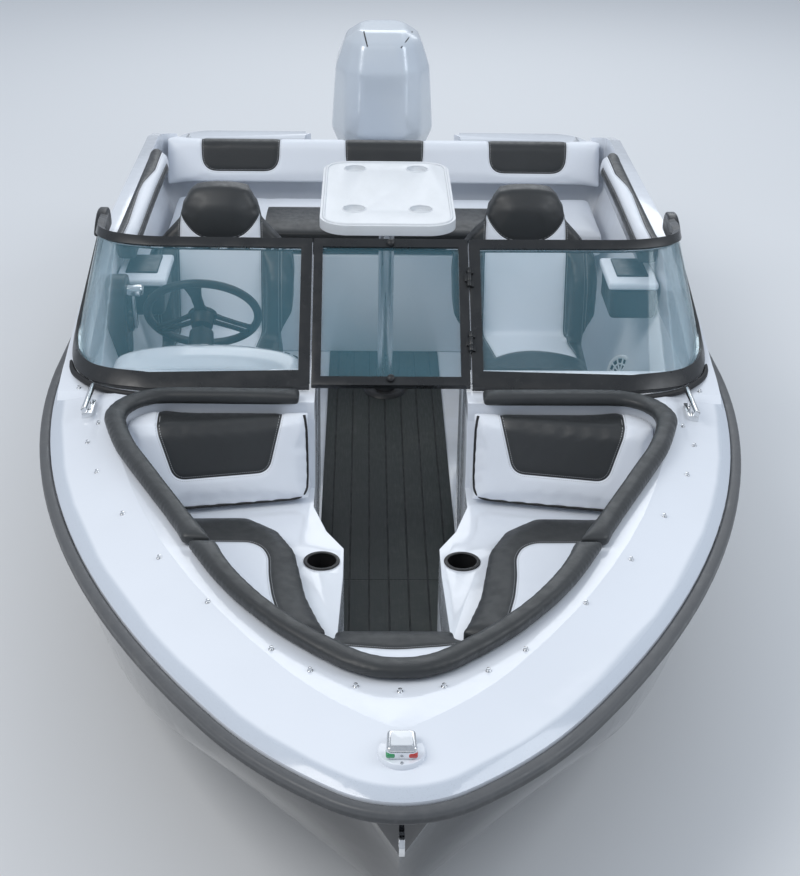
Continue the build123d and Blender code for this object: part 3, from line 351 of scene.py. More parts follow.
def engine_paint():
    """Pearl white paint with fine flakes under a clear coat."""
    made = Finish("engine_paint", (0.62, 0.68, 0.74), 0.3, Metallic=0.25, Coat_Weight=0.8,
                  Coat_Roughness=0.08)
    flake = made.add("ShaderNodeTexVoronoi", {"feature": "F1"}, {"Vector": made.place(), "Scale": 1500.0})
    drift = made.cloud(3, 3)
    tint = made.mix(drift.ramp(0.35, 0.7), (0.66, 0.71, 0.76), (0.60, 0.66, 0.73))
    made.put("Base Color", made.mix(flake.ramp(0.2, 0.9, 0, 0.25), tint, (0.78, 0.82, 0.86)))
    made.put("Roughness", flake.ramp(0.1, 0.9, 0.26, 0.36))
    made.raise_by(made.cloud(20, 2) * 0.0004, 1.0)
    return made.material


def lens(name, colour):
    """Ribbed coloured plastic with a hard gloss."""
    made = Finish(name, colour, 0.08, Coat_Weight=1.0, Coat_Roughness=0.03, Specular_IOR_Level=0.7)
    ring = made.cloud(180, 1, (1, 1, 6))
    made.put("Base Color", made.mix(ring.ramp(0.4, 0.6, 0, 0.4), colour, tuple(c * 0.4 for c in colour)))
    return made.material


GELCOAT = gelcoat()
DECK_GELCOAT = gelcoat("deck_gelcoat", edge=True)
HULL_BLACK = hull_gelcoat()
RAIL = rail_rubber()
PLANKS = planks()
VINYL = vinyl("marine_vinyl", WHITE, CHARCOAL)
FRAME = frame_black()
GASKET = gasket_rubber()
GLASS = window_glass()
PLASTIC = black_plastic()
CHROME = metal("polished_steel", (0.78, 0.79, 0.80), 0.10)
ALLOY = metal("satin_alloy", (0.72, 0.73, 0.75), 0.30, (1, 1, 0.05), 160)
PROP = metal("prop_steel", (0.62, 0.62, 0.64), 0.22)
IRON = metal("dark_casting", (0.16, 0.17, 0.18), 0.45)
ENGINE = engine_paint()
TABLE = table_plastic()
LENS_RED = lens("lens_red", (0.55, 0.02, 0.01))
LENS_GREEN = lens("lens_green", (0.01, 0.32, 0.10))
DIAL = lens("dial_face", (0.015, 0.016, 0.018))
GRILLE = gelcoat("speaker_white", (0.74, 0.77, 0.80))


# Modelling helpers
def pick_none():
    if bpy.context.object and bpy.context.object.mode != "OBJECT":
        bpy.ops.object.mode_set(mode="OBJECT")
    bpy.ops.object.select_all(action="DESELECT")


def own(piece):
    pick_none()
    piece.select_set(True)
    bpy.context.view_layer.objects.active = piece
    return piece


def settle(piece):
    own(piece)
    bpy.ops.object.transform_apply(location=True, rotation=True, scale=True)
    return piece


def finish_with(piece, kind, **settings):
    """Adds a modifier and applies it."""
    own(piece)
    modifier = piece.modifiers.new(kind.title(), kind)
    for key, value in settings.items():
        setattr(modifier, key, value)
    bpy.ops.object.modifier_apply(modifier=modifier.name)
    return piece


def smooth(piece, angle=35):
    own(piece)
    bpy.ops.object.shade_smooth_by_angle(angle=radians(angle))
    return piece


def soften(piece, width, angle=30, segments=3):
    finish_with(piece, "BEVEL", width=width, segments=segments, limit_method="ANGLE",
                angle_limit=radians(angle), use_clamp_overlap=True)
    return smooth(piece, 40)


def named(piece, name):
    piece.name = name
    piece.data.name = name
    return piece


def edit(piece):
    """Opens a piece in edit mode with all of it selected."""
    own(piece)
    bpy.ops.object.mode_set(mode="EDIT")
    bpy.ops.mesh.select_all(action="SELECT")


def extruded(piece, rise):
    """A sheet made solid by extruding it up or down, with its faces outwards."""
    edit(piece)
    bpy.ops.mesh.extrude_region_move(TRANSFORM_OT_translate={"value": (0, 0, rise)})
    bpy.ops.mesh.select_all(action="SELECT")
    bpy.ops.mesh.normals_make_consistent(inside=False)
    bpy.ops.object.mode_set(mode="OBJECT")
    return piece


def dress(piece, body, slot, finish, *nodes, fill=None):
    """Gives a piece its finish and body and hides the CAD nodes it stands for; the slot and a pad's fill are
    not used.
    """
    piece.data.materials.clear()
    piece.data.materials.append(finish)
    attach(piece, body)
    if nodes:
        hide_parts(*nodes)
    return piece


def traced(node, name):
    """A welded copy of a CAD node's mesh, as its own object."""
    made = bpy.data.objects.new(name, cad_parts[node].data.copy())
    made.data.name = name
    scene.collection.objects.link(made)
    own(made)
    if made.data.has_custom_normals:
        bpy.ops.mesh.customdata_custom_splitnormals_clear()
    edit(made)
    bpy.ops.mesh.remove_doubles(threshold=0.00002)
    bpy.ops.mesh.dissolve_limited(angle_limit=radians(0.5))
    bpy.ops.object.mode_set(mode="OBJECT")
    return made


def joined(pieces, name):
    pick_none()
    for piece in pieces:
        piece.select_set(True)
    bpy.context.view_layer.objects.active = pieces[0]
    if len(pieces) > 1:
        bpy.ops.object.join()
    return settle(named(bpy.context.object, name))


def rod(name, start, end, radius, sides=24, end_radius=None):
    """A straight bar or cone from start to end."""
    start, end = Vector(start), Vector(end)
    pick_none()
    bpy.ops.mesh.primitive_cone_add(vertices=sides, radius1=radius,
                                    radius2=radius if end_radius is None else end_radius,
                                    depth=(end - start).length, location=(start + end) / 2)
    made = named(bpy.context.object, name)
    made.rotation_euler = (end - start).to_track_quat("Z", "Y").to_euler()
    return settle(made)


def ball(name, centre, size, rings=16):
    pick_none()
    bpy.ops.mesh.primitive_uv_sphere_add(segments=2 * rings, ring_count=rings, radius=1, location=centre)
    made = named(bpy.context.object, name)
    made.scale = size
    return smooth(settle(made), 60)


def slab(name, x, y, z, bevel=0.004, segments=3):
    """A block between two values of x, of y and of z."""
    pick_none()
    bpy.ops.mesh.primitive_cube_add(size=1, location=(sum(x) / 2, sum(y) / 2, sum(z) / 2))
    made = named(bpy.context.object, name)
    made.scale = (x[1] - x[0], y[1] - y[0], z[1] - z[0])
    settle(made)
    if bevel:
        soften(made, bevel, segments=segments)
    return made


def pipe(name, points, radius, closed=False, sides=4):
    """A tube along a smooth line."""
    line = bpy.data.curves.new(name, "CURVE")
    line.dimensions = "3D"
    line.bevel_depth = radius
    line.bevel_resolution = sides
    line.use_fill_caps = True
    spline = line.splines.new("NURBS")
    spline.points.add(len(points) - 1)
    for knot, point in zip(spline.points, points):
        knot.co = (*point, 1)
    spline.use_cyclic_u = closed
    spline.order_u = 3
    spline.use_endpoint_u = not closed
    spline.resolution_u = 8
    made = bpy.data.objects.new(name, line)
    scene.collection.objects.link(made)
    own(made)
    bpy.ops.object.convert(target="MESH")
    made = bpy.context.object
    return smooth(named(made, name), 60)


def plate(name, outline, thick, seat=None, bevel=0.0015, segments=2):
    """A flat outline given its thickness, then set in place."""
    pick_none()
    bpy.ops.mesh.primitive_circle_add(vertices=len(outline), radius=1, fill_type="NGON")
    made = named(bpy.context.object, name)
    for vertex, (u, v) in zip(made.data.vertices, outline):
        vertex.co = (u, v, 0)
    extruded(made, thick)
    if seat is not None:
        made.matrix_world = seat
    settle(made)
    if bevel:
        soften(made, bevel, 30, segments)
    return made


def circle_outline(radius, count):
    return [(radius * cos(t * pi / (count / 2)), radius * sin(t * pi / (count / 2))) for t in range(count)]


def hoop(name, major, minor, seat, sides=96):
    """A ring set in place."""
    pick_none()
    bpy.ops.mesh.primitive_torus_add(major_radius=major, minor_radius=minor, major_segments=sides,
                                     minor_segments=20)
    made = named(bpy.context.object, name)
    made.matrix_world = seat
    return smooth(settle(made), 60)


def seat_at(origin, across, out):
    """A place to set a piece: its own x runs across and its own z points out."""
    out = Vector(out).normalized()
    across = Vector(across)
    across = (across - across.dot(out) * out).normalized()
    made = Matrix((across, out.cross(across), out)).transposed().to_4x4()
    made.translation = Vector(origin)
    return made


def facing_side(x):
    """A place for an outline drawn in y and z: its thickness runs from x towards port."""
    return Matrix(((0, 0, 1, x), (1, 0, 0, 0), (0, 1, 0, 0), (0, 0, 0, 1)))


def touch(piece, start, way):
    """The spot and the normal where a line first meets a piece, or None twice."""
    hit, spot, normal = piece.ray_cast(Vector(start), Vector(way).normalized())[:3]
    return (spot, normal) if hit else (None, None)


def read_table(table, at):
    """The second column of a table, read off at values of the first."""
    return np.interp(at, [row[0] for row in table], [row[1] for row in table])


# Padded pieces
def points_of(piece):
    spots = np.empty(3 * len(piece.data.vertices))
    piece.data.vertices.foreach_get("co", spots)
    return spots.reshape(-1, 3)


def put_points(piece, spots):
    piece.data.vertices.foreach_set("co", np.ascontiguousarray(spots).ravel())
    piece.data.update()


CLOTH = {"quality": 4, "mass": 0.4, "tension_stiffness": 12, "compression_stiffness": 12,
         "shear_stiffness": 6, "bending_stiffness": 0.6, "use_pressure": True}
CLOTH_FRAMES = 20
PAD_TUCK = 0.004


def puff(piece, voxel, press, cap, rest=None):
    """Swells a pad with a short cloth simulation and caps how far any point moved.

    The pad is first drawn in by PAD_TUCK, and nothing sinks below the height it rests on.
    """
    edit(piece)
    bpy.ops.transform.shrink_fatten(value=-PAD_TUCK, use_even_offset=True)
    bpy.ops.object.mode_set(mode="OBJECT")
    finish_with(piece, "REMESH", mode="VOXEL", voxel_size=voxel, use_smooth_shade=True)
    start = points_of(piece)
    cloth = piece.modifiers.new("Cloth", "CLOTH")
    for key, value in CLOTH.items():
        setattr(cloth.settings, key, value)
    cloth.settings.uniform_pressure_force = press
    cloth.settings.effector_weights.gravity = 0
    cloth.collision_settings.use_collision = False
    for number in range(1, CLOTH_FRAMES + 1):
        scene.frame_set(number)
    swollen = piece.evaluated_get(bpy.context.evaluated_depsgraph_get()).to_mesh()
    moved = np.empty(start.size)
    swollen.vertices.foreach_get("co", moved)
    piece.modifiers.clear()
    scene.frame_set(1)
    step = moved.reshape(-1, 3) - start
    far = np.linalg.norm(step, axis=1, keepdims=True)
    start = start + step * np.minimum(1.0, cap / np.maximum(far, 1e-9))
    if rest is not None:
        start[:, 2] = np.maximum(start[:, 2], rest)
    put_points(piece, start)
    finish_with(piece, "SMOOTH", factor=0.5, iterations=3)
    finish_with(piece, "SUBSURF", levels=1, render_levels=1)
    own(piece)
    bpy.ops.object.shade_smooth()
    return piece


def normals_of(piece):
    normals = np.empty(3 * len(piece.data.vertices))
    piece.data.vertices.foreach_get("normal", normals)
    return normals.reshape(-1, 3)


def seam_marks(piece, distance, along=None, crease=None, depth=0.003, width=0.010):
    """Stores the distance from the seam on a pad and sinks the pad along its seams and creases."""
    mesh = piece.data
    mesh.update()
    spots = points_of(piece)
    x, y, z = spots.T
    normals = normals_of(piece)
    far = distance(x, y, z) + np.zeros(len(x))
    line = crease(x, y, z, normals) if crease else np.full(len(x), 1.0)
    run = along(x, y, z) if along else x + y + z
    if depth:
        near = np.minimum(np.abs(far), line)
        put_points(piece, spots - normals * (depth * np.exp(-(near / width) ** 2))[:, None])
    for name, values in (("seam", far), ("along", run), ("crease", line)):
        mesh.attributes.new(name, "FLOAT", "POINT").data.foreach_set("value", values)
    mesh.update()
    return piece


def from_outline(points, u, v):
    """Distance from a closed outline, positive outside it, and the length run along it."""
    best = np.full(len(u), 1e9)
    best_run = np.zeros(len(u))
    inside = np.zeros(len(u), dtype=bool)
    run = 0.0
    for (ax, ay), (bx, by) in zip(points, points[1:] + points[:1]):
        dx, dy = bx - ax, by - ay
        long = max((dx * dx + dy * dy) ** 0.5, 1e-9)
        part = np.clip(((u - ax) * dx + (v - ay) * dy) / (long * long), 0.0, 1.0)
        away = np.hypot(u - ax - part * dx, v - ay - part * dy)
        closer = away < best
        best = np.where(closer, away, best)
        best_run = np.where(closer, run + part * long, best_run)
        if ay != by:
            crossing = ((ay > v) != (by > v)) & (u < (bx - ax) * (v - ay) / (by - ay) + ax)
            inside ^= crossing
        run += long
    return np.where(inside, -best, best), best_run


def rounded(points, radius, steps=6):
    """The outline with its corners rounded."""
    made = []
    count = len(points)
    for i, corner in enumerate(points):
        before, after = Vector(points[i - 1]), Vector(points[(i + 1) % count])
        corner = Vector(corner)
        back, on = before - corner, after - corner
        cut = min(radius, back.length / 2.1, on.length / 2.1)
        start, end = corner + back.normalized() * cut, corner + on.normalized() * cut
        for step in range(steps + 1):
            t = step / steps
            made.append(tuple((1 - t) ** 2 * start + 2 * t * (1 - t) * corner + t * t * end))
    return made


def panelled(piece, outline, plane=(0, 2), flip=False):
    """A dark panel inside an outline on a pad, or outside it when flipped, seen along the third axis."""
    one, two = plane

    def distance(x, y, z):
        spots = (x, y, z)
        far = from_outline(outline, spots[one], spots[two])[0]
        return -far if flip else far

    def along(x, y, z):
        spots = (x, y, z)
        return from_outline(outline, spots[one], spots[two])[1]

    return seam_marks(piece, distance, along)


# A seam mark well away from any seam, for pads of one colour
ALL_WHITE, ALL_DARK = 0.05, -0.05


def plain(piece, mark):
    """A pad of one colour."""
    return seam_marks(piece, lambda x, y, z: mark, depth=0)


SIDES = (("port", 1), ("starboard", -1))


def beside(sign, near, far):
    """Two distances from the centreline as values of x on one side, in rising order."""
    return sorted((sign * near, sign * far))


# Hull, liner, deck and rub rail
hull = soften(traced("hull", "hull_shell"), 0.008, 25)
dress(soften(traced("cockpit_liner", "liner_moulding"), 0.010, 25), "boat", "gelcoat_white", GELCOAT,
      "cockpit_liner")
deck = soften(traced("deck", "deck_moulding"), 0.012, 12, 4)


def mark_rim(piece):
    """Tells the deck's bevelled outer edge from its upright walls."""
    cockpit_half, cockpit_fore, cockpit_aft, facing_up = 0.7, -0.7, 2.2, 0.55
    x, y, z = points_of(piece).T
    outside = (np.abs(x) > cockpit_half) | (y < cockpit_fore) | (y > cockpit_aft)
    rim = ((normals_of(piece)[:, 2] > facing_up) & outside).astype(float)
    piece.data.attributes.new("rim", "FLOAT", "POINT").data.foreach_set("value", rim)


mark_rim(deck)


def fall_aft(piece):
    """The sheer falls a little towards the transom, and the moulding behind the bench is low."""
    deck_z, hump_half, hump_y, hump_kept = 0.705, 0.90, 1.724, 0.45
    fall, fall_y, fall_run, still_z, blend = 0.07, 1.85, 0.65, 0.56, 0.10
    spots = points_of(piece)
    y, z = spots[:, 1], spots[:, 2]
    hump = (np.abs(spots[:, 0]) < hump_half) & (y > hump_y) & (z > deck_z)
    z = np.where(hump, deck_z + (z - deck_z) * hump_kept, z)
    part = np.clip((y - fall_y) / fall_run, 0, 1)
    spots[:, 2] = z - fall * part * np.clip((z - still_z) / blend, 0, 1)
    put_points(piece, spots)
    return piece


dress(fall_aft(deck), "boat", "gelcoat_white", DECK_GELCOAT, "deck")
dress(fall_aft(hull), "boat", "hull_black", HULL_BLACK, "hull")
rail = fall_aft(soften(traced("rub_rail", "rub_rail_profile"), 0.010, 40, 4))
dress(rail, "boat", "rail_charcoal", RAIL, "rub_rail")
for node in ("bow_seat_base", "bench_base", "port_console", "seat_pedestals"):
    dress(soften(traced(node, node + "_moulding"), 0.009, 30), "boat", "gelcoat_white", GELCOAT, node)

# Helm: the pod's outline and the hood's top line give y and z
POD_OUTLINE = [(-0.478, 0.470), (-0.478, 0.650), (-0.370, 0.645), (-0.175, 0.560), (-0.110, 0.525),
               (-0.070, 0.470)]
POD_SIDE, POD_WIDE = -0.780, 0.548
HOOD_TOP = ((-0.500, 0.706), (-0.440, 0.727), (-0.380, 0.735), (-0.330, 0.718), (-0.250, 0.678),
            (-0.170, 0.634), (-0.115, 0.596))
pod = plate("helm_pod", POD_OUTLINE, POD_WIDE, facing_side(POD_SIDE), 0.012, 3)
wall = slab("helm_wall", (-0.266, -0.232), (-0.478, -0.110), (0.0673, 0.600), 0.008)
dress(joined([pod, wall], "helm_moulding"), "boat", "gelcoat_white", GELCOAT, "helm_console")


def helm_hood():
    """A smooth dome over the instruments, lower at both ends and falling away aft."""
    middle_x, half_wide, fore_y, long = -0.5845, 0.302, -0.496, 0.381
    foot_z, foot_bend, foot_slope, skirt = 0.660, -0.38, 0.49, 0.060
    pick_none()
    bpy.ops.mesh.primitive_grid_add(x_subdivisions=48, y_subdivisions=28, size=2)
    made = named(bpy.context.object, "helm_hood")
    spots = points_of(made)
    across, along = spots[:, 0].copy(), (spots[:, 1] + 1) / 2
    y = fore_y + along * long
    top = read_table(HOOD_TOP, y)
    foot = np.where(y < foot_bend, foot_z, foot_z - foot_slope * (y - foot_bend))
    arch = np.clip(1 - across ** 2, 0, 1) ** 0.36
    spots[:, 0] = middle_x + half_wide * across
    spots[:, 1] = y
    spots[:, 2] = foot + (top - foot) * arch
    put_points(made, spots)
    finish_with(made, "SMOOTH", factor=0.5, iterations=2)
    return soften(extruded(made, -skirt), 0.006, 45, 3)


hood = helm_hood()
dress(hood, "boat", "gelcoat_white", GELCOAT)

# Plank mat
dress(soften(traced("floor_mat", "plank_mat"), 0.002, 30), "boat", "plank_mat", PLANKS, "floor_mat")

# Bow cushions: borders between white and charcoal in x and y, the backrest's panel and welt in x and z
BOW_SEAT_Z = 0.411
SIDE_BORDER = [(0.80, -1.155), (0.403, -1.160), (0.367, -1.188), (0.346, -1.240), (0.340, -1.342),
               (0.326, -1.445), (0.290, -1.600), (0.20, -1.80), (0.9, -1.9)]
FRONT_HALF = [(-0.30, -1.40), (-0.27, -1.60), (-0.217, -1.645), (-0.14, -1.682)]
FRONT_STRIP = FRONT_HALF + [(0.0, -1.700)] + [(-x, y) for x, y in reversed(FRONT_HALF)]
BACKREST_PANEL = [(0.303, 0.78), (0.366, 0.522), (0.642, 0.522), (0.727, 0.78)]
BACKREST_WELT = [(0.266, 0.686), (0.262, 0.672), (0.258, 0.652), (0.255, 0.62), (0.251, 0.55), (0.252, 0.47),
                 (0.258, 0.446), (0.278, 0.432), (0.33, 0.429), (0.45, 0.429), (0.60, 0.430),
                 (0.70, 0.433), (0.76, 0.440)]
for side, sign in SIDES:
    pad = puff(traced("bow_cushion_" + side, "bow_seat_pad_" + side), 0.011, 3, 0.010, rest=BOW_SEAT_Z)
    border = [(sign * x, y) for x, y in SIDE_BORDER]
    panelled(pad, rounded(border, 0.03), (0, 1), flip=True)
    dress(pad, "boat", "vinyl_white", VINYL, "bow_cushion_" + side, fill=0.8)
    pad = puff(traced("bow_backrest_" + side, "bow_backrest_pad_" + side), 0.011, 3, 0.012)
    panelled(pad, rounded([(sign * x, z) for x, z in BACKREST_PANEL], 0.035))
    dress(pad, "boat", "vinyl_white", VINYL, "bow_backrest_" + side, fill=0.8)
    welt = []
    for x, z in BACKREST_WELT:
        spot, normal = touch(pad, (sign * x, -1.4, z), (0, 1, 0))
        if spot:
            welt.append(tuple(spot + normal * 0.001))
    dress(pipe("backrest_welt_" + side, welt, 0.0042, sides=3), "boat", "vinyl_charcoal", GASKET)
pad = puff(traced("bow_cushion_front", "bow_seat_pad_front"), 0.010, 3, 0.010, rest=BOW_SEAT_Z)
panelled(pad, rounded(FRONT_STRIP, 0.03), (0, 1))
dress(pad, "boat", "vinyl_white", VINYL, "bow_cushion_front", fill=0.8)


def lean_forward(piece):
    """Moves a bolster's top a little towards the bow, most on the centreline."""
    lean, from_y, run, foot_z, high, half = 0.012, -1.45, 0.45, 0.700, 0.046, 0.75
    spots = points_of(piece)
    fore = np.clip((from_y - spots[:, 1]) / run, 0, 1)
    raised = np.clip((spots[:, 2] - foot_z) / high, 0, 1)
    spots[:, 1] -= lean * fore * raised * np.clip(1 - (spots[:, 0] / half) ** 2, 0, 1)
    put_points(piece, spots)
    return piece


# Bolsters round the bow opening
for part in ("front", "port", "starboard"):
    pad = puff(traced("bolster_" + part, "bow_bolster_" + part), 0.009, 3, 0.006, rest=0.7005)
    dress(plain(lean_forward(pad), ALL_DARK), "boat", "vinyl_charcoal", VINYL, "bolster_" + part, fill=0.9)

# Cup holders
CUP_AT = (0.200, -1.173, 0.410)
CUP_DEEP, CUP_PROUD, CUP_FOOT, CUP_MOUTH, CUP_WALL = 0.078, 0.001, 0.0425, 0.0437, 0.0016


def cup_liner(side, sign):
    """An open cup: a cone without its top face, with a wall."""
    x, y, z = CUP_AT
    x = sign * x
    cup = rod("cup_liner_" + side, (x, y, z - CUP_DEEP), (x, y, z + CUP_PROUD), CUP_FOOT, 48, CUP_MOUTH)
    edit(cup)
    bpy.ops.mesh.select_all(action="DESELECT")
    bpy.ops.object.mode_set(mode="OBJECT")
    for face in cup.data.polygons:
        face.select = face.normal.z > 0.9
    bpy.ops.object.mode_set(mode="EDIT")
    bpy.ops.mesh.delete(type="FACE")
    bpy.ops.object.mode_set(mode="OBJECT")
    return smooth(finish_with(cup, "SOLIDIFY", thickness=CUP_WALL, offset=1))


for side, sign in SIDES:
    dress(cup_liner(side, sign), "boat", "black_plastic", PLASTIC)
rims = soften(traced("cup_rims", "cup_holder_rims"), 0.0018, 30)
dress(rims, "boat", "black_plastic", PLASTIC, "cup_rims")


def glaze(node):
    """Gives a CAD pane its glass and leaves its shape alone."""
    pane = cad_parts[node]
    pane.data.materials.clear()
    pane.data.materials.append(GLASS)


# Windshield
for side, sign in SIDES:
    dress(soften(traced("windshield_frame_" + side, "windshield_surround_" + side), 0.005, 30), "boat",
          "black_frame", FRAME, "windshield_frame_" + side)
    glaze("windshield_glass_" + side)
dress(soften(traced("windshield_door", "windshield_door_frame"), 0.005, 30), "windshield_door",
      "black_frame", FRAME, "windshield_door")
glaze("door_glass")
DOOR_FOOT = Vector((0, -0.648, 0.711))
DOOR_HEAD = Vector((0, -0.232, 1.040))
door_long = (DOOR_HEAD - DOOR_FOOT).length
door_up = (DOOR_HEAD - DOOR_FOOT).normalized()
door_out = Vector((0, -door_up.z, door_up.y))
DECK_Z = 0.700
# The fin's outline gives y and z, the gasket's line x and y
FIN_OUTLINE = [(0.120, 0.920), (0.175, 0.962), (0.235, 0.982), (0.300, 0.972), (0.325, 0.935),
               (0.330, 0.895), (0.24, 0.890)]
FIN_THICK, FIN_SIDE = 0.034, 0.976
GASKET_OUT, GASKET_DROP_X, GASKET_DROP = 0.020, 0.96, 0.006
GASKET_LINE = [(0.300, -0.650), (0.50, -0.658), (0.74, -0.668), (0.80, -0.654), (0.86, -0.631),
               (0.91, -0.594), (0.948, -0.548), (0.975, -0.495), (0.992, -0.430), (1.002, -0.360)]


def deck_height(x, y):
    spot = touch(deck, (x, y, 2), (0, 0, -1))[0]
    return spot.z if spot else DECK_Z


def gasket_line(sign):
    """The gasket's run along the windshield's foot, a little outside it and on the deck."""
    lift = deck_height(sign * 0.5, -0.68) + 0.001
    line = []
    for x, y in GASKET_LINE:
        turn = Vector((0, -1)) if x < 0.78 else Vector((0.45, -0.9)) if x < 0.93 else Vector((0.9, -0.3))
        at = Vector((x, y)) + turn * GASKET_OUT
        line.append((sign * at.x, at.y, lift if x < GASKET_DROP_X else lift - GASKET_DROP))
    return line


for side, sign in SIDES:
    strip = pipe("windshield_gasket_" + side, gasket_line(sign), 0.0095)
    dress(strip, "boat", "black_frame", GASKET)
    bar = slab("post_trim_" + side, (-0.001, 0.001), (0.02, door_long - 0.01), (-0.006, 0.006), 0)
    bar.matrix_world = Matrix(((1, 0, 0), tuple(door_up), tuple(door_out))).transposed().to_4x4()
    bar.location = DOOR_FOOT + Vector((sign * 0.2485, 0, 0)) - door_out * 0.004
    dress(settle(bar), "boat", "aluminium", ALLOY)
    fin_at = facing_side(FIN_SIDE if sign > 0 else -FIN_SIDE - FIN_THICK)
    fin = plate("windshield_fin_" + side, rounded(FIN_OUTLINE, 0.04, 8), FIN_THICK, fin_at, 0.014, 5)
    dress(fin, "boat", "black_frame", FRAME)
for name, part in (("upper", 0.968), ("lower", 0.052)):
    at = DOOR_FOOT + door_up * (door_long * part) + door_out * 0.017
    knob = ball("door_knob_" + name, (0, 0, 0), (0.013, 0.013, 0.009))
    knob.matrix_world = seat_at(at, (1, 0, 0), door_out)
    dress(settle(knob), "windshield_door", "black_plastic", PLASTIC)

# Stern bench
BENCH_Z = 0.500
BENCH_MIDDLE_HALF, BENCH_BORDER_Y, BACK_FRONT_Y = 0.495, 1.40, 1.765
PANEL_HALF, PANEL_TOP, PANEL_FOOT, PANEL_TAPER = 0.172, 0.95, 0.704, 0.008
pad = puff(traced("bench_cushions", "stern_seat_pads"), 0.016, 4, 0.014, rest=BENCH_Z + 0.0005)


def bench_marks(x, y, z):
    """Dark along the front of the bench's middle, white everywhere else."""
    middle = np.abs(x) < BENCH_MIDDLE_HALF
    top = np.where(middle, y - BENCH_BORDER_Y, 0.10)
    return np.where(z > BENCH_Z + 0.05, top, np.where(middle, ALL_DARK, ALL_WHITE))


seam_marks(pad, bench_marks, lambda x, y, z: x)
dress(pad, "boat", "vinyl_white", VINYL, "bench_cushions", fill=0.8)
pad = puff(traced("bench_backrest", "stern_backrest_pad"), 0.015, 4, 0.014)


def back_panel(x, y, z):
    """Three dark panels on the backrest's front, each a little narrower at its foot."""
    far = np.full(len(x), 1e9)
    foot_half = PANEL_HALF - PANEL_TAPER
    for middle in (-0.619, 0, 0.619):
        outline = [(middle - PANEL_HALF, PANEL_TOP), (middle - foot_half, PANEL_FOOT),
                   (middle + foot_half, PANEL_FOOT), (middle + PANEL_HALF, PANEL_TOP)]
        far = np.minimum(far, from_outline(rounded(outline, 0.065), x, z)[0])
    return np.where(y < BACK_FRONT_Y, far, ALL_WHITE)


seam_marks(pad, back_panel, lambda x, y, z: x + z)
dress(pad, "boat", "vinyl_white", VINYL, "bench_backrest", fill=0.8)

# Pads on the coaming: y, and half the width inside the dark band or the height above the dark face
PAD_WAVE = ((0.20, 0.932), (0.40, 0.932), (0.797, 0.944), (0.90, 0.940), (0.976, 0.928), (1.07, 0.914),
            (1.305, 0.914), (1.40, 0.914))
PAD_FACE = ((0.20, 0.846), (0.90, 0.850), (1.25, 0.842), (1.34, 0.780))
pad = puff(traced("side_pads", "coaming_pads"), 0.011, 3, 0.008)


def pad_stripes(x, y, z):
    """White between the dark outer band and the dark inner face."""
    outer = read_table(PAD_WAVE, y) - np.abs(x)
    return np.minimum(np.where(z > 0.84, outer, 0.1), z - read_table(PAD_FACE, y))


seam_marks(pad, pad_stripes, lambda x, y, z: y)
dress(pad, "boat", "vinyl_white", VINYL, "side_pads", fill=0.8)

# Armrests: a dark block, a white cap and a dark slab let into it
for side, sign in SIDES:
    rest = slab("armrest_" + side, beside(sign, 0.785, 0.951), (0.165, 0.41), (0.612, 0.726), 0.020, 5)
    dress(plain(rest, ALL_DARK), "boat", "vinyl_charcoal", VINYL)
    top = slab("armrest_top_" + side, beside(sign, 0.812, 0.925), (0.222, 0.40), (0.749, 0.759), 0.005, 4)
    dress(top, "boat", "vinyl_charcoal", PLASTIC)
    cap = slab("armrest_cap_" + side, beside(sign, 0.775, 0.9515), (0.155, 0.42), (0.7265, 0.753), 0.009, 4)
    dress(plain(cap, ALL_WHITE), "boat", "vinyl_white", VINYL)

# Bucket seats: half the width of the back at a height, in the solid and here
HEAD_CAD = ((0.725, 0.283), (0.800, 0.225), (0.855, 0.165), (0.925, 0.150), (0.985, 0.100))
HEAD_REAL = ((0.725, 0.276), (0.800, 0.214), (0.850, 0.168), (0.885, 0.155), (0.910, 0.151), (0.940, 0.143),
             (0.960, 0.130), (0.975, 0.108), (0.985, 0.078))


def smoothed_by(piece, share, factor, steps):
    """Smooths a piece, each point by the share for its height."""
    sharp = points_of(piece)
    finish_with(piece, "SMOOTH", factor=factor, iterations=steps)
    put_points(piece, sharp + (points_of(piece) - sharp) * share(sharp[:, 2])[:, None])
    return piece


def round_head(piece, middle):
    """Rounds the headrest and the shoulders, and fills the headrest out forward."""
    shoulder_z, head_z, bulge, droop = 0.725, 0.885, 0.022, 0.045
    spots = points_of(piece)
    u, z = spots[:, 0] - middle, spots[:, 2]
    wider = read_table(HEAD_REAL, z) / read_table(HEAD_CAD, z)
    spots[:, 0] = middle + np.where(z > shoulder_z, u * wider, u)
    fuller = np.clip(1 - (u / 0.17) ** 2, 0, 1) * np.clip(1 - ((z - head_z) / 0.115) ** 2, 0, 1)
    spots[:, 1] -= bulge * fuller
    crown = np.clip((z - head_z) / 0.10, 0, 1)
    spots[:, 2] -= droop * crown * np.clip(np.abs(spots[:, 0] - middle) / 0.15, 0, 1) ** 2.4
    put_points(piece, spots)
    return smoothed_by(piece, lambda z: np.clip((z - 0.78) / 0.06, 0.15, 1), 0.5, 14)


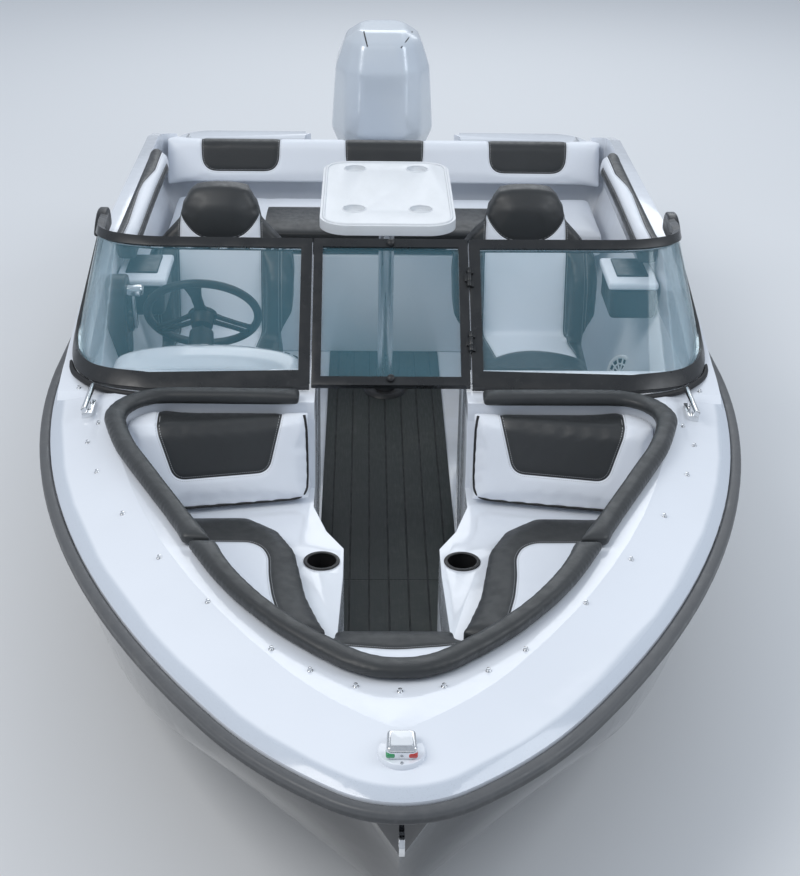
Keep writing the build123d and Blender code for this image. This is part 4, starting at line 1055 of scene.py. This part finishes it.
# Side, middle, and how far the cushion's panel turns towards the centreline
for side, middle, skew in (("helm", -0.615, -0.10), ("port", 0.512, 0.16)):
    pad = round_head(puff(traced("seat_" + side, "bucket_seat_" + side), 0.014, 4, 0.016), middle)

    def seat_marks(x, y, z, middle=middle, skew=skew):
        """White in the middle of the front of back and cushion, dark round it and behind."""
        panel_half, panel_fore, panel_head, dark = 0.149, 0.300, 0.778, -0.02
        cushion_head, cushion_foot, cushion_aft = 0.455, 0.36, 0.49
        cushion = z < cushion_head
        u = x - middle - np.where(cushion, np.clip(0.45 - y, 0, 0.3) * skew, 0)
        edge = panel_half - np.abs(u)
        head = panel_head + np.minimum(np.abs(u) / 0.152, 1.3) ** 2.8 * 0.095 - z
        front = y - panel_fore + (u / panel_half) ** 2 * 0.065
        back_line = 0.452 + 0.105 * (z - 0.424) / 0.561 + 0.045
        far = np.minimum(edge, np.where(cushion, front, head))
        far = np.where(y > np.where(cushion, cushion_aft, back_line), dark, far)
        return np.where(z < cushion_foot, dark, far)

    def seat_creases(x, y, z, n, middle=middle):
        """The joint between back and cushion, and the lines down the wings and the shell."""
        joint_y, joint_z, wing_half, shell_half, shell_y, no_crease = 0.452, 0.428, 0.222, 0.205, 0.62, 1.0
        u = np.abs(x - middle)
        joint = np.hypot(y - joint_y - 0.02 * (u / 0.15) ** 2, z - joint_z)
        wing = np.where(z > 0.44, np.abs(u - wing_half + 0.06 * np.clip(z - 0.72, 0, 0.2)), no_crease)
        shell = np.where(y < shell_y, no_crease, np.abs(u - shell_half))
        return np.minimum(np.minimum(joint, wing + np.where(n[:, 1] < -0.2, 0, 1)), shell)

    seam_marks(pad, seat_marks, lambda x, y, z: z, seat_creases)
    dress(pad, "boat", "vinyl_white", VINYL, "seat_" + side, fill=0.8)
    slide = slab("seat_slide_" + side, (middle - 0.15, middle + 0.15), (0.14, 0.48), (0.2855, 0.2935), 0.002)
    dress(slide, "boat", "black_plastic", PLASTIC)

# Steering wheel
WHEEL = Vector((-0.631, -0.030, 0.702))
TILT = radians(35.6)
wheel_out = Vector((0, cos(TILT), sin(TILT)))
wheel_seat = seat_at(WHEEL, (1, 0, 0), wheel_out)
RIM_RADIUS, RIM_THICK, SPOKE_THICK = 0.187, 0.0142, 0.012
# A spoke's distance from the hub and half its width, and the parts of that width that its bars take
FOOT_SPOKE = ((0.020, 0.030), (0.060, 0.018), (0.120, 0.019), (0.160, 0.026), (0.184, 0.034))
SIDE_SPOKE = ((0.020, 0.034), (0.060, 0.027), (0.120, 0.024), (0.160, 0.026), (0.184, 0.032))
ONE_BAR = ((1, -1),)
TWO_BARS = ((1, 0.28), (-0.28, -1))
wheel = [hoop("wheel_rim", RIM_RADIUS, RIM_THICK, wheel_seat)]
SPOKES = ((-96, FOOT_SPOKE, ONE_BAR), (30, SIDE_SPOKE, TWO_BARS), (150, SIDE_SPOKE, TWO_BARS))
for turn, shape, bars in SPOKES:
    a, b = cos(radians(turn)), sin(radians(turn))
    spoke_seat = wheel_seat @ Matrix.Translation((0, 0, -SPOKE_THICK))
    for high, low in bars:
        run = [(r, h * high) for r, h in shape] + [(r, h * low) for r, h in reversed(shape)]
        outline = [(r * a - s * b, r * b + s * a) for r, s in run]
        wheel.append(plate("wheel_spoke", outline, SPOKE_THICK, spoke_seat, 0.004, 3))
hub = ball("wheel_hub", (0, 0, 0), (0.050, 0.050, 0.016))
hub.matrix_world = wheel_seat @ Matrix.Translation((0, 0, -0.004))
wheel.append(settle(hub))
wheel.append(rod("wheel_boss", WHEEL - wheel_out * 0.050, WHEEL - wheel_out * 0.006, 0.036, 40, 0.044))
wheel.append(rod("wheel_shaft", WHEEL - wheel_out * 0.170, WHEEL - wheel_out * 0.045, 0.0094, 24))
dress(smooth(joined(wheel, "helm_wheel"), 40), "steering_wheel", "black_plastic", PLASTIC, "steering_wheel")
cap_seat = wheel_seat @ Matrix.Translation((0, 0, 0.0105))
cap = plate("wheel_cap", circle_outline(0.022, 32), 0.0025, cap_seat, 0.001)
dress(cap, "steering_wheel", "stainless", CHROME)
collar = rod("helm_collar", WHEEL - wheel_out * 0.178, WHEEL - wheel_out * 0.074, 0.050, 40, 0.040)
dress(soften(collar, 0.002, 30), "boat", "black_plastic", PLASTIC)

# Three gauges and a row of six switches, set on the hood's after slope
DASH_Y = -0.235
LOWEST_MARK, MARK_STEP, MARK_COUNT = 225, 33.75, 9


def on_hood(x):
    """A place on the hood's slope, facing out of it."""
    spot, normal = touch(hood, (x, DASH_Y, 1.2), (0, 0, -1))
    return seat_at(spot, (1, 0, 0), normal)


def gauge(tag, x, size):
    seat = on_hood(x)
    dress(hoop("gauge_bezel_" + tag, size, 0.0035, seat, 48), "boat", "stainless", CHROME)
    dial = plate("gauge_dial_" + tag, circle_outline(size, 48), 0.0018, seat, 0.0006)
    dress(dial, "boat", "black_plastic", DIAL)
    marks = []
    for step in range(MARK_COUNT):
        turn = Matrix.Rotation(radians(LOWEST_MARK - step * MARK_STEP), 4, "Z")
        tick = slab("tick", (-0.004, 0.004), (-0.0007, 0.0007), (0.0018, 0.0022), 0)
        tick.matrix_world = seat @ turn @ Matrix.Translation((size * 0.80, 0, 0))
        marks.append(settle(tick))
    needle = slab("needle", (-0.004, size * 0.7), (-0.0009, 0.0009), (0.0024, 0.0032), 0)
    needle.matrix_world = seat @ Matrix.Rotation(radians(LOWEST_MARK), 4, "Z")
    marks.append(settle(needle))
    dress(joined(marks, "gauge_marks_" + tag), "boat", "gelcoat_white", GRILLE)


gauge("starboard", -0.735, 0.042)
gauge("middle", -0.625, 0.048)
gauge("port", -0.515, 0.042)
switches = []
for number in range(6):
    key = slab("switch", (-0.009, 0.009), (-0.017, 0.017), (-0.001, 0.006), 0.002, 2)
    key.matrix_world = on_hood(-0.415 + 0.026 * number)
    switches.append(settle(key))
dress(joined(switches, "dash_switches"), "boat", "black_plastic", PLASTIC)

# Throttle on the starboard coaming: the outlines give y and z
BOX_OUTLINE = [(-0.012, 0.500), (-0.020, 0.790), (0.020, 0.812), (0.100, 0.800), (0.128, 0.760),
               (0.120, 0.500)]
LEVER_OUTLINE = [(0.040, 0.615), (0.072, 0.615), (0.058, 0.760), (0.020, 0.770), (0.012, 0.752)]
BOX_SIDE, BOX_THICK, LEVER_SIDE, LEVER_THICK = -0.962, 0.068, -0.879, 0.014
PIVOT_Y, PIVOT_Z = 0.055, 0.640
box = plate("throttle_housing", rounded(BOX_OUTLINE, 0.03), BOX_THICK, facing_side(BOX_SIDE), 0.010, 4)
dress(box, "boat", "black_plastic", PLASTIC, "throttle_control")
disc = rod("throttle_pivot", (-0.895, PIVOT_Y, PIVOT_Z), (-0.878, PIVOT_Y, PIVOT_Z), 0.040, 40, 0.034)
dress(soften(disc, 0.003), "boat", "black_plastic", PLASTIC)
lever_line = rounded(LEVER_OUTLINE, 0.012)
lever = plate("throttle_lever", lever_line, LEVER_THICK, facing_side(LEVER_SIDE), 0.005, 3)
dress(lever, "boat", "stainless", CHROME)
grip = slab("throttle_grip", (-0.905, -0.835), (0.006, 0.048), (0.745, 0.782), 0.014, 5)
dress(grip, "boat", "stainless", CHROME)

# Port side: locker door with its latch, and the speaker
door = slab("locker_door", (0.31, 0.74), (-0.317, -0.309), (0.478, 0.556), 0.004)
dress(door, "boat", "gelcoat_white", GELCOAT)
latch = slab("locker_latch", (0.50, 0.55), (-0.311, -0.303), (0.505, 0.530), 0.003)
dress(latch, "boat", "black_plastic", PLASTIC)
SPEAKER_AT = Vector((0.872, 0.330, 0.330))
speaker_seat = seat_at(SPEAKER_AT, (0.8, -0.6, 0), (-0.78, -0.55, 0.30))
bars = [hoop("speaker_ring", 0.062, 0.008, speaker_seat, 48)]
cone_foot, cone_mouth = speaker_seat @ Vector((0, 0, -0.02)), speaker_seat @ Vector((0, 0, 0.002))
dress(rod("speaker_cone", cone_foot, cone_mouth, 0.060, 40), "boat", "black_plastic", PLASTIC)
bars.append(hoop("speaker_hoop", 0.036, 0.0035, speaker_seat @ Matrix.Translation((0, 0, 0.004)), 40))
dome = ball("speaker_dome", (0, 0, 0), (0.014, 0.014, 0.006))
dome.matrix_world = speaker_seat @ Matrix.Translation((0, 0, 0.003))
bars.append(settle(dome))
for number in range(6):
    bar = slab("grille_bar", (-0.058, 0.058), (-0.0030, 0.0030), (0.002, 0.007), 0.0015, 2)
    bar.matrix_world = speaker_seat @ Matrix.Rotation(radians(30 * number), 4, "Z")
    bars.append(settle(bar))
dress(joined(bars, "speaker_grille"), "boat", "gelcoat_white", GRILLE)

# Table
dress(soften(traced("table_top", "table_leaf"), 0.012, 30, 5), "boat", "table_white", TABLE, "table_top")
LIP_HALF, LIP_FORE, LIP_AFT, LIP_Z, CUP_Z = 0.232, 0.341, 1.099, 0.8985, 0.8992
lip_line = rounded([(-LIP_HALF, LIP_FORE), (LIP_HALF, LIP_FORE), (LIP_HALF, LIP_AFT),
                    (-LIP_HALF, LIP_AFT)], 0.10, 14)
lip = pipe("table_lip", [(x, y, LIP_Z) for x, y in lip_line], 0.0055, closed=True, sides=3)
dress(lip, "boat", "table_white", TABLE)
for side, x in (("starboard", -0.122), ("port", 0.122)):
    for end, y in (("fore", 0.519), ("aft", 1.016)):
        cup = hoop("table_cup_" + end + "_" + side, 0.0425, 0.0022, Matrix.Translation((x, y, CUP_Z)), 48)
        dress(cup, "boat", "table_white", TABLE)
POST_Y = 0.72
# Name, foot and head height, foot and head radius, bevel, slot, finish, and the CAD node it stands for
POST_PARTS = (("table_leg", 0.0800, 0.8605, 0.0300, 0.0300, 0.001, "aluminium", ALLOY, ["table_post"]),
              ("table_foot", 0.0755, 0.0880, 0.0850, 0.0700, 0.003, "black_plastic", PLASTIC, []),
              ("table_foot_ring", 0.0870, 0.1060, 0.0410, 0.0360, 0.002, "black_plastic", PLASTIC, []),
              ("table_socket", 0.8420, 0.8605, 0.0400, 0.0850, 0.002, "aluminium", ALLOY, []))
for name, foot, head, foot_radius, head_radius, bevel, slot, finish, nodes in POST_PARTS:
    part = rod(name, (0, POST_Y, foot), (0, POST_Y, head), foot_radius, 48, head_radius)
    dress(soften(part, bevel), "boat", slot, finish, *nodes)

# Deck fittings
for node in ("cleats", "bow_eye", "stern_eyes"):
    fitting = soften(traced(node, node + "_steel"), 0.003, 30)
    if node == "cleats":
        fall_aft(fitting)
    dress(fitting, "boat", "stainless", CHROME, node)
STUDS = [(0.959, -0.603), (0.815, -0.665), (0.755, -0.742), (0.862, -0.851), (0.878, -0.957),
         (0.823, -1.145), (0.717, -1.395), (0.593, -1.63), (0.452, -1.846), (0.29, -2.048),
         (0.199, -2.132), (0.097, -2.192), (0, -2.211)]


def upright(name, x, y, low, high, radius, sides, top_radius):
    """An upright rod on the deck, between two heights above it."""
    z = deck_height(x, y)
    return rod(name, (x, y, z + low), (x, y, z + high), radius, sides, top_radius)


studs = []
for x, y in STUDS + [(-x, y) for x, y in STUDS[:-1]]:
    studs.append(upright("stud", x, y, -0.002, 0.002, 0.0075, 16, 0.0065))
    studs.append(upright("stud", x, y, 0.002, 0.008, 0.0042, 16, 0.0048))
dress(soften(joined(studs, "cover_studs"), 0.0008, 30, 2), "boat", "stainless", CHROME)

# Bow light: a bright body with a red and a green lens on a round pad
LIGHT_Y = -2.398
LIGHT_OUTLINE = [(-0.033, -0.034), (0.033, -0.034), (0.030, 0.034), (-0.030, 0.034)]
light_z = deck_height(0, LIGHT_Y)
pad_disc = upright("light_pad", 0, LIGHT_Y, -0.010, 0.004, 0.052, 48, 0.050)
dress(soften(pad_disc, 0.002), "boat", "gelcoat_white", GELCOAT)
body_line = rounded(LIGHT_OUTLINE, 0.012)
body = plate("bow_light_body", body_line, 0.030, Matrix.Translation((0, LIGHT_Y, light_z + 0.002)), 0.006, 3)
dress(body, "boat", "stainless", CHROME, "bow_light")
top_line = [(u * 0.72, v * 0.72) for u, v in body_line]
top = plate("bow_light_top", top_line, 0.004, Matrix.Translation((0, LIGHT_Y, light_z + 0.031)), 0.0015)
dress(top, "boat", "gelcoat_white", GRILLE)
for side, sign in SIDES:
    pane = slab("bow_lens_" + side, beside(sign, 0.014, 0.0335), (LIGHT_Y - 0.036, LIGHT_Y - 0.014),
                (light_z + 0.008, light_z + 0.020))
    dress(pane, "boat", None, LENS_RED if sign > 0 else LENS_GREEN)
screws = []
for y in (LIGHT_Y - 0.045, LIGHT_Y + 0.044):
    screws.append(rod("pad_screw", (0, y, light_z + 0.003), (0, y, light_z + 0.0065), 0.0045, 16, 0.003))
dress(joined(screws, "light_screws"), "boat", "stainless", CHROME)

# Engine: the slits' points give x and z on the upright plane at SLIT_Y, the seal's half gives x and y
COWL_HEART = Vector((0, 2.80, 0.75))
SLIT_Y, SLIT_PROUD = 2.65, 0.0006
SLITS = (("port", ((0.139, 1.082), (0.128, 1.060), (0.108, 1.032), (0.087, 1.004))),
         ("starboard", ((-0.092, 1.080), (-0.088, 1.060), (-0.080, 1.030), (-0.075, 1.008))))
SEAL_HALF = [(0.062, 2.620), (0.152, 2.679), (0.203, 2.780), (0.208, 2.960), (0.142, 3.062)]
SEAL_Z = 0.4578


def fill_inside(piece):
    """Takes the inner wall off a shell and closes the outer one."""
    shell = bmesh.new()
    shell.from_mesh(piece.data)
    inner = [face for face in shell.faces if face.normal.dot(COWL_HEART - face.calc_center_median()) > 0]
    bmesh.ops.delete(shell, geom=inner, context="FACES")
    bmesh.ops.holes_fill(shell, edges=[edge for edge in shell.edges if edge.is_boundary], sides=0)
    bmesh.ops.recalc_face_normals(shell, faces=shell.faces)
    shell.to_mesh(piece.data)
    shell.free()
    return piece


cowl = finish_with(fill_inside(traced("cowl", "engine_cowl")), "REMESH", mode="VOXEL", voxel_size=0.0065)
cowl = smooth(smoothed_by(cowl, lambda z: np.clip((z - 0.475) / 0.06, 0, 1), 0.6, 36), 60)
dress(cowl, "engine", "engine_white", ENGINE, "cowl")
for tag, points in SLITS:
    line = []
    for x, z in points:
        spot, normal = touch(cowl, EYE, Vector((x, SLIT_Y, z)) - EYE)
        if spot:
            line.append(tuple(spot + normal * SLIT_PROUD))
    dress(pipe("cowl_slit_" + tag, line, 0.0032, sides=3), "engine", "black_plastic", PLASTIC)
for node in ("midsection", "gearcase"):
    dress(smooth(traced(node, node + "_casting")), "engine", "engine_white", ENGINE, node)
seal_line = rounded(SEAL_HALF + [(-x, y) for x, y in reversed(SEAL_HALF)], 0.02)
seal = pipe("cowl_seal", [(x, y, SEAL_Z) for x, y in seal_line], 0.0045, closed=True, sides=3)
dress(seal, "engine", "black_plastic", GASKET)
# Node, piece, body, slot, finish
CASTINGS = (("engine_block", "power_head", "engine", "engine_iron", IRON),
            ("clamp_brackets", "transom_clamps", "boat", "engine_dark", IRON),
            ("swivel_bracket", "swivel_casting", "tilt_bracket", "engine_dark", IRON),
            ("propeller", "propeller_blades", "propeller", "prop_metal", PROP))
for node, name, body, slot, finish in CASTINGS:
    dress(smooth(traced(node, name)), body, slot, finish, node)


# Lamps: name, place, size, power, tint
LAMPS = (("key_panel", (-4.5, -3.5, 6.5), 4.0, 255, (1, 0.98, 0.95)),
         ("fill_panel", (5.0, -2.0, 5.0), 4.0, 130, (0.92, 0.96, 1)),
         ("back_panel", (0.5, 7.0, 5.0), 5.0, 115, (0.95, 0.98, 1)))
SKY_TINT, SKY_POWER = (0.80, 0.88, 1.0, 1), 0.60
LAMP_AIM = Vector((0, 0, 0.4))


def studio():
    """A pale floor, a pale blue sky and three soft lamps."""
    pick_none()
    bpy.ops.mesh.primitive_plane_add(size=60, location=(0, 0, 0))
    floor = named(bpy.context.object, "studio_floor")
    paint = Finish("studio_paper", (0.78, 0.79, 0.80), 0.9, Specular_IOR_Level=0.1)
    floor.data.materials.append(paint.material)
    world = bpy.data.worlds.new("studio_sky")
    scene.world = world
    world.use_nodes = True
    sky = world.node_tree.nodes["Background"]
    sky.inputs[0].default_value = SKY_TINT
    sky.inputs[1].default_value = SKY_POWER
    for name, spot, size, power, tint in LAMPS:
        lamp = bpy.data.lights.new(name, "AREA")
        lamp.size, lamp.energy, lamp.color = size, power, tint
        holder = bpy.data.objects.new(name, lamp)
        scene.collection.objects.link(holder)
        holder.location = spot
        holder.rotation_euler = (LAMP_AIM - Vector(spot)).to_track_quat("-Z", "Y").to_euler()
    scene.view_settings.view_transform = "Standard"


studio()
pick_none()
